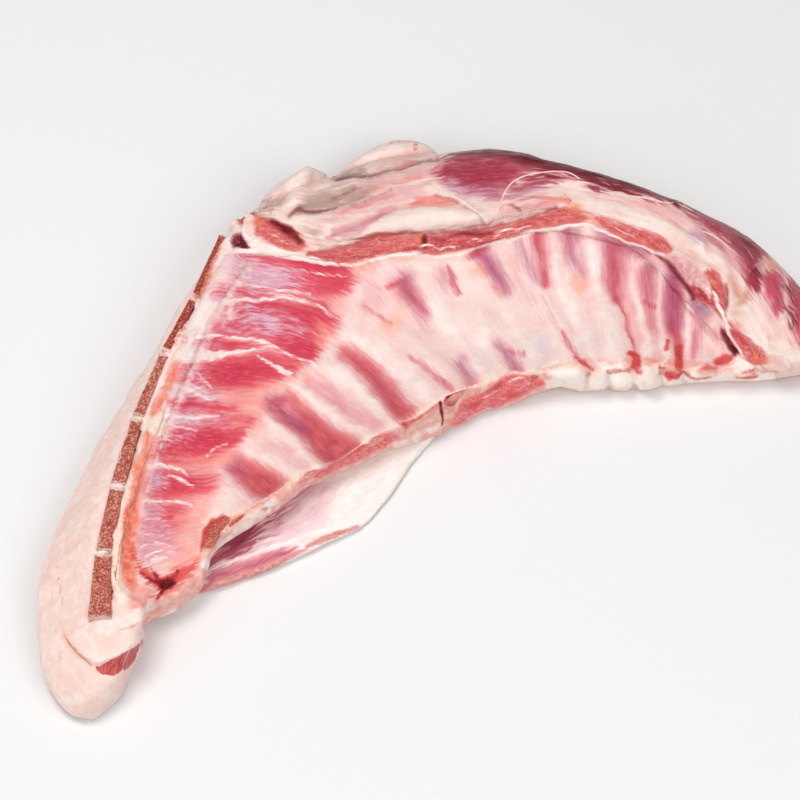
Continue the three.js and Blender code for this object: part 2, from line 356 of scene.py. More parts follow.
@dataclass(frozen=True)
class Patch(Mark):
    """A mark inside a closed outline."""

    line: Line
    strength: float = 1.0

    def reach(self) -> Tuple[np.ndarray, np.ndarray, float]:
        """Gives the outline's lowest and highest pixels."""
        points = corners(self.line)
        return points.min(0), points.max(0), 0.0

    def depth(self, spots: np.ndarray) -> np.ndarray:
        """Measures how far spots lie inside the outline.

        Args:
            spots: Pixels, one a row.

        Returns:
            Millimetres, below zero outside.
        """
        points = rounded(self.line, closed=True)
        away, _, _ = follow(np.concatenate([points, points[:1]]), spots)
        inside = np.zeros(len(spots), bool)
        for start, end in zip(points, np.roll(points, -1, axis=0)):
            if start[1] == end[1]:
                continue
            spans = (start[1] > spots[:, 1]) != (end[1] > spots[:, 1])
            limit = start[0] + (spots[:, 1] - start[1]) / (end[1] - start[1]) * (end[0] - start[0])
            inside ^= spans & (spots[:, 0] < limit)
        return np.where(inside, np.abs(away), -np.abs(away))


@dataclass(frozen=True)
class Dab(Mark):
    """A round or oval mark."""

    at: Spot
    radii: Spot
    strength: float = 1.0
    turn: float = 0.0

    def reach(self) -> Tuple[np.ndarray, np.ndarray, float]:
        """Gives the middle twice and the longest radius."""
        spread = (max(self.radii) + 2) * SIGHT.millimetres()
        return np.array(self.at), np.array(self.at), spread * max(self.radii) / min(self.radii)

    def depth(self, spots: np.ndarray) -> np.ndarray:
        """Measures roughly how far spots lie inside the oval.

        Args:
            spots: Pixels, one a row.

        Returns:
            Millimetres, below zero outside.
        """
        rel = spots - np.array(self.at)
        turn = math.radians(self.turn)
        along = rel[:, 0] * math.cos(turn) + rel[:, 1] * math.sin(turn)
        across = rel[:, 1] * math.cos(turn) - rel[:, 0] * math.sin(turn)
        away = np.hypot(along / self.radii[0], across / self.radii[1])
        return (1 - away) * min(self.radii) * SIGHT.millimetres()


def strokes(widths: Tuple[float, ...], strength: float, *lines: Line) -> Tuple[Stroke, ...]:
    """Draws several lines alike.

    Args:
        widths: Widths along each line in millimetres.
        strength: How strongly the strokes cover.
        lines: The lines' numbers.

    Returns:
        The strokes.
    """
    return tuple(Stroke(line, widths, strength) for line in lines)


@dataclass(frozen=True)
class Tissue:
    """All the marks of one tissue, and the millimetres over which their edges fade."""

    soft: float
    marks: Tuple[Mark, ...]

    def cover(self, spots: np.ndarray) -> np.ndarray:
        """Gives the strongest mark at each spot."""
        return np.max([mark.cover(spots, self.soft) for mark in self.marks], axis=0)


Tissues = Dict[str, Tissue]


@dataclass(frozen=True)
class Ridge:
    """A ridge or, below zero, a crease along a line, with its height in millimetres."""

    line: Line
    height: float
    width: float

    def lift(self, spots: np.ndarray) -> np.ndarray:
        """Gives the rise at each spot in millimetres."""
        away, _, _ = follow(rounded(self.line), spots)
        return self.height * np.exp(-((away / (0.5 * self.width)) ** 2))


@dataclass(frozen=True)
class Fold:
    """A fold that stands up on the right hand of its line and runs out over its reach."""

    line: Line
    height: float
    reach: float
    lip: float = 1.6
    run_out: float = 0.15

    def lift(self, spots: np.ndarray) -> np.ndarray:
        """Measures the rise at each spot.

        Args:
            spots: Pixels, one a row.

        Returns:
            Millimetres, one a spot.
        """
        away, run, length = follow(rounded(self.line), spots)
        taper = self.run_out * length
        ends = step(0.0, taper, run) * step(0.0, taper, length - run)
        rise = step(-0.5 * self.lip, 0.5 * self.lip, away)
        return self.height * rise * ends * np.exp(-((np.maximum(away, 0.0) / self.reach) ** 2))


@dataclass(frozen=True)
class Lump:
    """A rounded lump, or a hollow below zero."""

    at: Spot
    radii: Spot
    height: float
    turn: float = 0.0

    def lift(self, spots: np.ndarray) -> np.ndarray:
        """Measures the rise at each spot.

        Args:
            spots: Pixels, one a row.

        Returns:
            Millimetres, one a spot.
        """
        depth = Dab(self.at, self.radii, 1.0, self.turn).depth(spots)
        away = 1 - depth / (min(self.radii) * SIGHT.millimetres())
        return self.height * np.exp(-(away**2))


@dataclass(frozen=True)
class Trim:
    """An outline that the piece doesn't pass, on its upper or its lower side."""

    line: Line
    upper: bool = True
    ease: float = 3.0
    onset: float = 0.7
    clear: float = -50.0

    def move(self, points: np.ndarray) -> np.ndarray:
        """Draws points that lie past the outline back to it.

        Args:
            points: Points in metres.

        Returns:
            Their moves in metres.
        """
        spots = SIGHT.pixels(points)
        across, down = corners(self.line).T
        past = np.interp(spots[:, 0], across, down) - spots[:, 1]
        within = (spots[:, 0] > across[0]) & (spots[:, 0] < across[-1])
        past = np.where(within, past if self.upper else -past, self.clear)
        past = self.ease * np.logaddexp(0.0, past / self.ease - self.onset) * SIGHT.millimetres() * MM
        way = -SIGHT.axes()[1]
        if not self.upper:
            way = -way * np.array([1.0, 1.0, 0.0])
            way /= way @ way
        return past[:, None] * way


class Weave(Enum):
    """How a tissue's tone changes over its surface."""

    CLOUD = "cloud"
    FIBRE = "fibre"
    CELL = "cell"


FIBRE = Weave.FIBRE


@dataclass(frozen=True)
class Layer:
    """One tissue laid over those below it."""

    mask: str
    light: Colour
    dark: Colour
    size: float = 4.0
    ragged: float = 0.3
    edge: float = 0.25
    cover: float = 1.0
    weave: Weave = Weave.CLOUD


def film(colour: Colour) -> Tuple[float, float, float, float]:
    """Turns a colour into a root of its light, so that mixes deepen like thin flesh over fat.

    Args:
        colour: Red, green and blue as the eye reads them, two hex digits each.

    Returns:
        Red, green, blue and 1 for full cover.
    """
    shares = [(colour >> shift & 255) / 255 for shift in (16, 8, 0)]
    light = [s / 12.92 if s <= 0.04045 else ((s + 0.055) / 1.055) ** 2.4 for s in shares]
    return (*(part ** (1 / FILM) for part in light), 1.0)


class NodeBench:
    """Adds and joins the nodes of one material."""

    stretch = 9.0
    detail = 3.0
    noise_range = (0.3, 0.7)
    cell_range = (0.1, 0.8)

    def __init__(self, material: bpy.types.Material) -> None:
        """Clears the material's nodes and starts its shared ones.

        Args:
            material: The material to fill.
        """
        material.use_nodes = True
        self.tree = material.node_tree
        self.tree.nodes.clear()
        self.made: Dict[tuple, bpy.types.NodeSocket] = {}

    def add(self, kind: str, **values: object) -> bpy.types.Node:
        """Adds a node.

        Args:
            kind: Its type without the shader prefix.
            values: Its settings.

        Returns:
            The node.
        """
        node = self.tree.nodes.new("ShaderNode" + kind)
        for name, value in values.items():
            setattr(node, name, value)
        return node

    def feed(self, socket: bpy.types.NodeSocket, value: object) -> None:
        """Links a socket to another, or sets its value.

        Args:
            socket: What is fed.
            value: A socket to link, or a plain value.
        """
        if isinstance(value, bpy.types.NodeSocket):
            self.tree.links.new(value, socket)
        else:
            socket.default_value = value

    def attribute(self, name: str, vector: bool = False) -> bpy.types.NodeSocket:
        """Reads a mesh attribute.

        Args:
            name: The attribute.
            vector: Whether it is read as a vector.

        Returns:
            The socket with its value.
        """
        key = ("attribute", name, vector)
        if key not in self.made:
            node = self.add("Attribute", attribute_name=name)
            self.made[key] = node.outputs["Vector" if vector else "Fac"]
        return self.made[key]

    def math(self, operation: str, first: object, second: object,
             third: object = 0.0) -> bpy.types.NodeSocket:
        """Joins values by one sum.

        Args:
            operation: The sum's name.
            first: A socket or number.
            second: A socket or number.
            third: A socket or number, for a sum of three.

        Returns:
            The result.
        """
        node = self.add("Math", operation=operation)
        for socket, value in zip(node.inputs, (first, second, third)):
            self.feed(socket, value)
        return node.outputs[0]

    def place(self, weave: Weave, size: float) -> bpy.types.NodeSocket:
        """Gives the place on the piece in waves of a texture.

        Args:
            weave: Fibres are drawn out along the run of the muscle.
            size: Length of one wave in millimetres.

        Returns:
            The place as a vector.
        """
        run = size * (self.stretch if weave is Weave.FIBRE else 1.0)
        name = "fibre" if weave is Weave.FIBRE else "place"
        node = self.add("VectorMath", operation="MULTIPLY")
        self.feed(node.inputs[0], self.attribute(name, True))
        node.inputs[1].default_value = (1 / run, 1 / size, 1 / size)
        return node.outputs[0]

    def grain(self, weave: Weave, size: float) -> bpy.types.NodeSocket:
        """Gives a texture from 0 to 1.

        Args:
            weave: The kind of texture.
            size: Length of one wave in millimetres.

        Returns:
            The texture's value.
        """
        key = (weave, size)
        if key not in self.made:
            if weave is Weave.CELL:
                node = self.add("TexVoronoi")
                raw, span = node.outputs["Distance"], self.cell_range
            else:
                node = self.add("TexNoise")
                node.inputs["Detail"].default_value = self.detail
                raw, span = node.outputs["Fac"], self.noise_range
            node.inputs["Scale"].default_value = 1.0
            self.feed(node.inputs["Vector"], self.place(weave, size))
            self.made[key] = self.ease(raw, *span)
        return self.made[key]

    def ease(self, value: object, low: float, high: float, top: float = 1.0) -> bpy.types.NodeSocket:
        """Eases a value from 0 at low to top at high.

        Args:
            value: A socket.
            low: Where the rise starts.
            high: Where it ends.
            top: What it rises to.

        Returns:
            The eased value.
        """
        node = self.add("MapRange", interpolation_type="SMOOTHSTEP")
        for name, part in zip(("Value", "From Min", "From Max", "To Max"), (value, low, high, top)):
            self.feed(node.inputs[name], part)
        return node.outputs["Result"]

    def blend(self, share: object, below: object, above: object) -> bpy.types.NodeSocket:
        """Lays one colour over another.

        Args:
            share: How much the upper one covers.
            below: The lower colour.
            above: The upper colour.

        Returns:
            The mixed colour.
        """
        node = self.add("Mix", data_type="RGBA")
        for place, part in zip((0, 6, 7), (share, below, above)):
            self.feed(node.inputs[place], part)
        return node.outputs[2]


@dataclass(frozen=True)
class Finish:
    """A moist raw tissue, as layers from the ground up."""

    name: str
    light: Colour
    dark: Colour
    layers: Tuple[Layer, ...] = ()
    weave: Weave = Weave.CLOUD
    size: float = 14.0
    roughness: Tuple[float, float] = (0.3, 0.5)
    bumps: Tuple[Tuple[Weave, float, float], ...] = ((Weave.CLOUD, 2.6, 0.12), (FIBRE, 0.9, 0.06))
    gloss: float = 0.06
    shine: float = 0.2
    soft: float = 0.15
    bleed: Tuple[float, float, float] = (1.0, 0.4, 0.25)
    bleed_depth: float = 2.0
    coat_roughness: float = 0.2
    wet_patch: float = 6.0

    def material(self) -> bpy.types.Material:
        """Builds the shader.

        Returns:
            The material.
        """
        material = bpy.data.materials.new(self.name)
        bench = NodeBench(material)
        tone = bench.grain(self.weave, self.size)
        colour = bench.blend(tone, film(self.dark), film(self.light))
        for layer in self.layers:
            tone = bench.grain(layer.weave, layer.size)
            own = bench.blend(tone, film(layer.dark), film(layer.light))
            mask = bench.attribute(layer.mask)
            bell = bench.math("MULTIPLY", mask, bench.math("MULTIPLY_ADD", mask, -4.0, 4.0))
            shift = bench.math("MULTIPLY_ADD", tone, layer.ragged, -0.5 * layer.ragged)
            edge = bench.math("MULTIPLY_ADD", shift, bell, mask)
            share = bench.ease(edge, 0.5 - layer.edge, 0.5 + layer.edge, layer.cover)
            colour = bench.blend(share, colour, own)
        light = bench.add("Gamma")
        bench.feed(light.inputs["Color"], colour)
        light.inputs["Gamma"].default_value = FILM
        shader = bench.add("BsdfPrincipled")
        bench.feed(shader.inputs["Base Color"], light.outputs[0])
        low, high = self.roughness
        wet = bench.grain(Weave.CLOUD, self.wet_patch)
        bench.feed(shader.inputs["Roughness"], bench.math("MULTIPLY_ADD", wet, high - low, low))
        constants = {"Subsurface Weight": self.soft, "Subsurface Radius": self.bleed,
                     "Subsurface Scale": self.bleed_depth * MM, "Specular IOR Level": self.shine,
                     "Coat Weight": self.gloss, "Coat Roughness": self.coat_roughness}
        for name, value in constants.items():
            shader.inputs[name].default_value = value
        self.roughen(bench, shader)
        output = bench.add("OutputMaterial")
        bench.feed(output.inputs["Surface"], shader.outputs[0])
        return material

    def roughen(self, bench: NodeBench, shader: bpy.types.Node) -> None:
        """Adds the fine bumps, one over the other.

        Args:
            bench: The material's bench.
            shader: The shader whose normal they tilt.
        """
        normal = None
        for weave, size, height in self.bumps:
            bump = bench.add("Bump")
            bump.inputs["Distance"].default_value = height * MM
            bump.inputs["Strength"].default_value = 1.0
            bench.feed(bump.inputs["Height"], bench.grain(weave, size))
            if normal is not None:
                bench.feed(bump.inputs["Normal"], normal)
            normal = bump.outputs["Normal"]
        if normal is not None:
            bench.feed(shader.inputs["Normal"], normal)


@dataclass
class Skin:
    """A piece's fine mesh while it is shaped: points in metres, edges, pixels and tissue covers."""

    mesh: bpy.types.Mesh
    points: np.ndarray = field(init=False)
    edges: np.ndarray = field(init=False)
    spots: np.ndarray = field(init=False)
    covers: Covers = field(init=False)

    def __post_init__(self) -> None:
        """Reads the mesh's points and edges."""
        self.points = np.empty((len(self.mesh.vertices), 3))
        self.mesh.vertices.foreach_get("co", self.points.ravel())
        self.edges = np.empty((len(self.mesh.edges), 2), np.int32)
        self.mesh.edges.foreach_get("vertices", self.edges.ravel())

    def evened(self, rounds: int) -> np.ndarray:
        """Works out an even version of the surface.

        Args:
            rounds: How often each point moves half way to the middle of its neighbours.

        Returns:
            The evened points.
        """
        first, second = self.edges.T
        count = len(self.points)
        joined = np.bincount(first, minlength=count) + np.bincount(second, minlength=count)
        joined = np.maximum(joined, 1)
        points = self.points.copy()
        for _ in range(rounds):
            for axis in range(3):
                value = points[:, axis]
                near = np.bincount(first, value[second], count) + np.bincount(second, value[first], count)
                points[:, axis] = 0.5 * (value + near / joined)
        return points

    def normals(self) -> np.ndarray:
        """Writes the points to the mesh and reads its normals.

        Returns:
            Unit normals, one a point.
        """
        self.mesh.vertices.foreach_set("co", self.points.astype(np.float32).ravel())
        self.mesh.update()
        result = np.empty(len(self.mesh.vertices) * 3, np.float32)
        self.mesh.vertex_normals.foreach_get("vector", result)
        return result.reshape(-1, 3).astype(float)

    def store(self, name: str, values: np.ndarray) -> None:
        """Keeps values as a mesh attribute.

        Args:
            name: The attribute's name.
            values: One number or one vector a point.
        """
        vector = values.ndim == 2
        kind, part = ("FLOAT_VECTOR", "vector") if vector else ("FLOAT", "value")
        attribute = self.mesh.attributes.new(name, kind, "POINT")
        attribute.data.foreach_set(part, values.astype(np.float32).ravel())


def welded(node: bpy.types.Object, swell: float = 0.0) -> Tuple[np.ndarray, np.ndarray]:
    """Copies a solid with its shared corners joined.

    Args:
        node: The solid's object.
        swell: Millimetres by which its points move out.

    Returns:
        Points in metres and triangles.
    """
    shell = bmesh.new()
    shell.from_mesh(node.data)
    bmesh.ops.remove_doubles(shell, verts=shell.verts, dist=0.01 * MM)
    bmesh.ops.triangulate(shell, faces=shell.faces)
    shell.normal_update()
    points = np.array([v.co + swell * MM * v.normal for v in shell.verts])
    faces = np.array([[v.index for v in f.verts] for f in shell.faces])
    shell.free()
    return points, faces


def tree_of(node: bpy.types.Object) -> Tuple[BVHTree, np.ndarray]:
    """Makes a search tree of a solid.

    Args:
        node: The solid's object.

    Returns:
        The tree and the solid's points in metres.
    """
    points, faces = welded(node)
    return BVHTree.FromPolygons(points.tolist(), faces.tolist()), points


@dataclass
class Piece:
    """A piece of the cut: a solid that is remeshed, shaped and dressed."""

    name: str
    node: str
    slot: str
    neighbours: Tuple[str, ...] = ()
    filled_by: Tuple[str, ...] = ()
    voxel: float = 0.8
    rounds: int = 10
    swell: float = 0.3
    lap: float = 1.6
    wander: float = 1.7
    uneven: float = 0.35
    seed: int = 1
    closing: float = 0.45
    seam_reach: float = 1.3
    tissues: Tissues = field(default_factory=dict)
    fibre_gap: float = 22.0
    fibre_depth: float = 0.4
    heights: Heights = ()
    traces: Traces = ()

    def finish(self) -> Finish:
        """Gives the piece's finish."""
        raise NotImplementedError

    def forms(self) -> tuple:
        """Gives the piece's ridges, folds and lumps."""
        return ()

    def flow(self) -> Tuple[Line, ...]:
        """Gives lines along the run of the fibres, side by side from the picture's lower left on."""
        return ((0, 400, 800, 400),)

    def build(self, frame: dict) -> bpy.types.Object:
        """Builds the piece and joins it to the frame.

        Args:
            frame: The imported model.

        Returns:
            The finished object.
        """
        mesh = self.remesh(frame)
        skin = Skin(mesh)
        self.seam(skin, frame)
        skin.points = skin.evened(self.rounds)
        skin.points += self.swell * MM * skin.normals()
        skin.spots = self.spots(skin)
        skin.covers = {name: tissue.cover(skin.spots) for name, tissue in self.tissues.items()}
        self.shape(skin)
        self.mark(skin)
        mesh.materials.append(self.finish().material())
        mesh.polygons.foreach_set("use_smooth", np.ones(len(mesh.polygons), bool))
        return self.join(mesh)

    def join(self, mesh: bpy.types.Mesh) -> bpy.types.Object:
        """Makes the object, hangs it on the body that carries it and hides the solid that it stands for.

        Args:
            mesh: The finished mesh.

        Returns:
            The object.
        """
        piece = bpy.data.objects.new(self.name, mesh)
        bpy.context.scene.collection.objects.link(piece)
        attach(piece, "root")
        if self.node:
            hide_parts(self.node)
        return piece

    def remesh(self, frame: dict) -> bpy.types.Mesh:
        """Turns the piece's solid into one fine mesh, with the hollows for its bones filled.

        Args:
            frame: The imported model.

        Returns:
            The mesh, of even small faces.
        """
        points, faces, start = [], [], 0
        for name in (self.node, *self.filled_by):
            own, triangles = welded(frame["nodes"][name], 0.0 if name == self.node else self.closing)
            points.append(own)
            faces.append(triangles + start)
            start += len(own)
        coarse = bpy.data.meshes.new(self.name + "_coarse")
        coarse.from_pydata(np.concatenate(points).tolist(), [], np.concatenate(faces).tolist())
        holder = bpy.data.objects.new(self.name + "_coarse", coarse)
        bpy.context.scene.collection.objects.link(holder)
        modifier = holder.modifiers.new("fine", "REMESH")
        modifier.mode = "VOXEL"
        modifier.voxel_size = self.voxel * MM
        graph = bpy.context.evaluated_depsgraph_get()
        mesh = bpy.data.meshes.new_from_object(holder.evaluated_get(graph))
        mesh.name = self.name
        bpy.data.objects.remove(holder)
        bpy.data.meshes.remove(coarse)
        return mesh

    def seam(self, skin: Skin, frame: dict) -> None:
        """Pushes the faces that meet a neighbour a little way into it, so that no gap shows.

        Args:
            skin: The piece's fine mesh.
            frame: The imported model.
        """
        reach = self.seam_reach * MM
        for name in self.neighbours:
            tree, points = tree_of(frame["nodes"][name])
            low, high = points.min(0) - reach, points.max(0) + reach
            near = np.flatnonzero(np.all((skin.points > low) & (skin.points < high), axis=1))
            for i in near:
                place, _, _, gap = tree.find_nearest(Vector(skin.points[i]), reach)
                if place is not None and gap > 1e-6:
                    way = (np.array(place) - skin.points[i]) / gap
                    skin.points[i] += way * (gap + self.lap * MM)

    def spots(self, skin: Skin) -> np.ndarray:
        """Finds each point in the picture, with a small drift that keeps marks from ruled edges.

        Args:
            skin: The piece's fine mesh.

        Returns:
            Pixels, one a row.
        """
        place = skin.points / MM
        drift = np.empty((len(place), 2))
        for k in range(2):
            broad, fine = (Noise(self.seed + seed + k) for seed in DRIFT_SEEDS)
            drift[:, k] = broad.cloud(place, BROAD_WAVE) + FINE_SHARE * fine.cloud(place, FINE_WAVE, 2)
        return SIGHT.pixels(skin.points) + self.wander * drift

    def shape(self, skin: Skin) -> None:
        """Raises the piece's folds and creases.

        Args:
            skin: The piece's fine mesh.
        """
        normals = skin.normals()
        seen = step(*SHAPE_SEEN, normals @ SIGHT.axes()[2])
        lift = sum((form.lift(skin.spots) for form in self.forms()), np.zeros(len(skin.spots)))
        lift = (lift + self.relief(skin)) * seen
        lift += self.uneven * Noise(self.seed).cloud(skin.points / MM, BROAD_WAVE)
        skin.points += lift[:, None] * MM * normals
        for trim in self.trims():
            skin.points += trim.move(skin.points)

    def trims(self) -> Tuple[Trim, ...]:
        """Gives the outlines that the piece keeps to."""
        return ()

    def relief(self, skin: Skin) -> np.ndarray:
        """Gives the rise that the tissues add where the picture shows them.

        Args:
            skin: The piece's fine mesh.

        Returns:
            Millimetres that each point moves out.
        """
        return sum((height * skin.covers[name] for name, height in self.heights), np.zeros(len(skin.spots)))

    def mark(self, skin: Skin) -> None:
        """Stores the tissue marks, the painted highlight on ridges and the painted shade in hollows, the run
        of the fibres and the traces in them.

        Args:
            skin: The piece's fine mesh.
        """
        normals = skin.normals()
        seen = step(*MARK_SEEN, normals @ SIGHT.axes()[2])
        for name, cover in skin.covers.items():
            skin.store(name, cover * seen)
        skin.store("outer", 1 - seen)
        height = np.sum((skin.points - skin.evened(EVEN_ROUNDS)) * normals, axis=1) / MM
        # lighter on crests and darker in hollows: painted highlight and painted shade
        for name, side in (("crest_highlight", 1), ("hollow_shade", -1)):
            skin.store(name, np.clip(0.5 + side * height / CREST_SPAN, 0.0, 1.0))
        skin.store("place", skin.points / MM)
        along, across = self.fibres(skin.spots)
        skin.store("fibre", np.stack([along, across, skin.points[:, 2] / MM * self.fibre_depth], axis=1))
        for name, tissue, share in self.traces:
            skin.store(name, share * skin.covers[tissue])

    def fibres(self, spots: np.ndarray) -> Tuple[np.ndarray, np.ndarray]:
        """Follows the run of the fibres, which fan from each flow line to the next.

        Args:
            spots: Points in the picture.

        Returns:
            Millimetres along and across the fibres.
        """
        lines = [follow(rounded(line), spots) for line in self.flow()]
        sides = [line[0] for line in lines]
        runs = [line[1] for line in lines]
        if len(lines) == 1:
            return runs[0], sides[0]
        across = np.where(sides[0] > 0, -sides[0], 0.0)
        along = runs[0].copy()
        for i in range(len(lines) - 1):
            here, there = sides[i], sides[i + 1]
            part = np.abs(here) / (np.abs(here) + np.abs(there) + 1e-6)
            between = (here <= 0) & (there > 0)
            across = np.where(between, (i + part) * self.fibre_gap, across)
            along = np.where(between, runs[i] * (1 - part) + runs[i + 1] * part, along)
        past = sides[-1] <= 0
        across = np.where(past, (len(lines) - 1) * self.fibre_gap - sides[-1], across)
        return np.where(past, runs[-1], along), across


# foot of the sawn edge as the picture shows it
LOWER_OUTLINE = (445, 428, 459, 426, 471, 418, 487, 409, 494, 410, 515, 403, 534, 393, 547, 388, 561, 385,
                 579, 390, 601, 391, 620, 391, 643, 393, 656, 387, 679, 384, 701, 381, 728, 380, 757, 380,
                 779, 377, 814, 371)
BLOOD_SPOT = Tissue(2.4, (
    Dab((167, 584), (8, 6), 1, -14), Dab((160, 580), (4, 2.5), 0.7, 20),
    Stroke((139, 573, 148, 578, 156, 581, 165, 583), (0.2, 0.6, 1, 2), 0.9),
    Stroke((158, 598, 161, 592, 166, 586), (0.3, 0.9, 2)),
    Stroke((169, 583, 174, 577, 178, 571), (2.4, 1, 0.3), 0.85),
    Stroke((152, 570, 159, 578, 166, 583), (0.2, 0.6, 1.2), 0.85),
))
SALMON_LUMP = Tissue(4, (
    Patch((128, 592, 136, 584, 147, 585, 156, 589, 158, 596, 150, 604, 140, 611, 130, 611)),
))
SORE_SPOT = Tissue(5, (
    Stroke((131, 552, 138, 566, 148, 577, 160, 583), (1, 2.6, 4, 5)),
    Stroke((160, 583, 172, 581, 184, 573, 198, 559), (6, 7, 5, 1)),
    Stroke((154, 600, 160, 592, 168, 586), (1, 2.4, 3), 0.8),
    Stroke((170, 588, 180, 582, 190, 574), (2, 2.4, 1), 0.8),
))
GRISTLE = Tissue(3.6, (
    Stroke((149, 434, 145, 456), (3.5, 4.5)), Stroke((141, 460, 138, 474), (4, 4.5)),
    Stroke((138, 478, 135, 491), (4.5, 5)),
    Stroke((133, 497, 130, 515, 128, 540, 127, 560, 128, 578, 134, 590), (5.5, 7, 7.5, 7.5, 6.5, 5)),
    *strokes((2.5, 4.5, 3), 1, (177, 364, 172, 376, 166, 389), (165, 394, 160, 402, 153, 413)),
))
GRISTLE_PALE = Tissue(3, (
    Dab((157, 429), (7, 7)), Stroke((127, 494, 119, 520, 115, 548, 115, 575, 119, 596), (2.4, 3.4, 4, 4, 3)),
    Stroke((134, 418, 150, 420), (2, 2)), Stroke((126, 484, 136, 484), (1.6, 1.6), 0.8),
))
NUB = Tissue(3.4, (
    Patch((152, 627, 160, 619, 168, 611, 174, 607, 175, 614, 170, 622, 160, 628), 0.9),
    Patch((100, 623, 112, 616, 126, 614, 142, 609, 152, 598, 157, 602, 147, 617, 132, 626, 117, 630, 104,
        627), 0.9),
    Dab((106, 630), (9, 6), 0.8),
))
SKIRT_MEAT = Tissue(2.4, (
    Patch((305, 254, 318, 251, 335, 249, 350, 245, 362, 239, 375, 235, 392, 235, 412, 237, 430, 235, 445, 233,
        462, 230, 478, 229, 491, 228, 505, 226, 520, 223, 534, 218, 545, 213, 553, 209, 562, 207, 572, 209,
        582, 214, 591, 222, 570, 224, 552, 226, 537, 229, 520, 233, 505, 237, 490, 242, 470, 248, 455, 252,
        440, 253, 420, 253, 400, 252, 388, 251, 378, 255, 365, 259, 350, 262, 335, 263, 320, 261, 308, 258)),
    Patch((592, 216, 600, 217, 615, 221, 630, 226, 655, 235, 668, 242, 676, 249, 672, 253, 657, 252, 642, 247,
        617, 236, 600, 226)),
    Patch((254, 234, 260, 217, 276, 221, 290, 226, 302, 237, 310, 247, 294, 253, 279, 248, 266, 242)),
    Patch((702, 271, 715, 272, 724, 283, 728, 300, 725, 322, 717, 312, 708, 303, 712, 294, 708, 284)),
    Patch((688, 287, 697, 285, 711, 297, 716, 306, 706, 305, 695, 300, 689, 294)),
    Patch((728, 329, 737, 330, 747, 338, 760, 348, 768, 356, 766, 363, 757, 365, 748, 359, 739, 350, 732,
        339)),
))
SKIRT_SEAMS = Tissue(1.2, (
    Patch((238, 224, 245, 231, 252, 238, 262, 243, 280, 250, 305, 256, 332, 263, 332, 267, 300, 262, 275, 256,
        255, 253, 249, 253, 250, 245, 244, 236)),
    Patch((222, 250, 228, 238, 236, 236, 235, 248, 246, 252, 240, 254, 224, 254)),
    Stroke((225, 250, 250, 251, 279, 254, 307, 259, 333, 265, 359, 264, 378, 257, 391, 253, 425, 255, 442,
        256, 457, 255, 469, 251, 489, 245, 515, 237, 538, 230, 563, 227, 586, 224, 598, 229, 619, 238, 636,
        246, 649, 251, 664, 255), (2, 1.4, 1.2, 1.4, 1.2, 1.3, 1.2, 0.9)),
    Stroke((418, 249, 425, 245, 431, 244, 439, 249, 447, 247, 456, 248), (0.4, 0.9, 0.9, 0.4)),
    Stroke((466, 242, 474, 238, 480, 240, 490, 235), (0.3, 0.7, 0.6, 0.3), 0.8),
    Stroke((494, 236, 500, 233, 508, 229, 516, 230, 530, 227), (0.4, 0.8, 0.6, 0.3)),
    Stroke((713, 292, 720, 305, 726, 322, 730, 338, 740, 353), (1, 1.6, 1.6, 1.2, 0.8)),
    Stroke((264, 231, 276, 237, 288, 245), (0.3, 0.5, 0.3), 0.7),
    *strokes((0.3, 0.6, 0.3), 0.7, (353, 247, 374, 242, 406, 243), (604, 222, 622, 231, 644, 240)),
))
# darker red meat, and painted shadow in the corner pocket, along the skirt's upper and lower edges, beside
# its end and in the wedge below it
SKIRT_DARK_AND_SHADOW = Tissue(2.6, (
    Dab((425, 241), (2.5, 6)), Patch((720, 326, 726, 330, 732, 342, 738, 352, 735, 357, 729, 351, 724, 340)),
    Patch((238, 231, 245, 239, 250, 246, 245, 251, 237, 247, 235, 238)),
    Stroke((452, 236, 464, 232, 480, 233, 494, 231), (1, 2.4, 2, 1), 0.7),
    Stroke((432, 238, 446, 240), (1.4, 1.4), 0.6),
    Stroke((272, 222, 286, 228, 301, 243), (2.5, 4.5, 2.5), 0.75),
    Stroke((308, 254, 335, 248, 352, 244, 365, 237, 392, 234, 430, 234, 462, 229, 491, 227, 520, 222, 545,
        212, 556, 207), (0.9, 1.2, 1.4, 1.2, 0.9), 0.6),
    Stroke((590, 225, 610, 235, 636, 248, 650, 253), (0.5, 0.8, 0.8), 0.6),
    Stroke((656, 254, 664, 259, 672, 267, 680, 277, 689, 291, 692, 299), (0.8, 1.2, 1.6, 1.8, 1.4), 0.95),
    Stroke((726, 284, 728, 296, 727, 306), (0.6, 1, 0.6), 0.7),
))
FRAYED = Tissue(2.5, (
    Patch((668, 252, 687, 258, 699, 268, 708, 282, 708, 290, 697, 286, 688, 286, 678, 271)),
    Stroke((585, 213, 605, 219, 628, 227), (1.2, 1, 0.6), 0.5),
))
LAYER_ROSY = Layer("rosy", 0xECA8AC, 0xDE8E96, 1.6, 0.5, 0.5, 0.8, FIBRE)
LAYER_STRIPES = Layer("stripes", 0xD7656A, 0xBF4853, 1.2, 0.3, 0.5, 0.95, FIBRE)
LAYER_BRUISES = Layer("bruises", 0xBE6682, 0xA04464, 1.4, 0.3, 0.5, 0.85, FIBRE)
LAYER_SEAMS = Layer("seams", 0xFDF1EA, 0xF9E2D9, 0.8, 0.5, 0.4, 1, FIBRE)
# darker red meat and painted shadow
LAYER_DARK_AND_SHADOW = Layer("dark", 0x801E24, 0x52060C, 4, 0.2, 0.5)
LAYER_MEAT = Layer("meat", 0xE07A74, 0xC65050, 0.8, 0.7, 0.5, 1, FIBRE)
LAYER_MARBLE = Layer("marble", 0xF6C4BA, 0xECA096, 1.7, 1.2, 0.3, 0.5)
LAYER_FRAYED = Layer("frayed", 0xEEBEBA, 0xDA9498, 2.2, 0.6, 0.5, 0.9)
LAYER_SORE = Layer("sore", 0xEA6458, 0xCC363A, 1, 0.9, 0.5, 0.95, FIBRE)
LAYER_BLOOD = Layer("blood", 0x8C0E18, 0x400208, 1.6, 0.5, 0.5)
LAYER_GRISTLE = Layer("gristle", 0xF8A088, 0xE66A56, 3.2, 0.6, 0.5, 0.95)
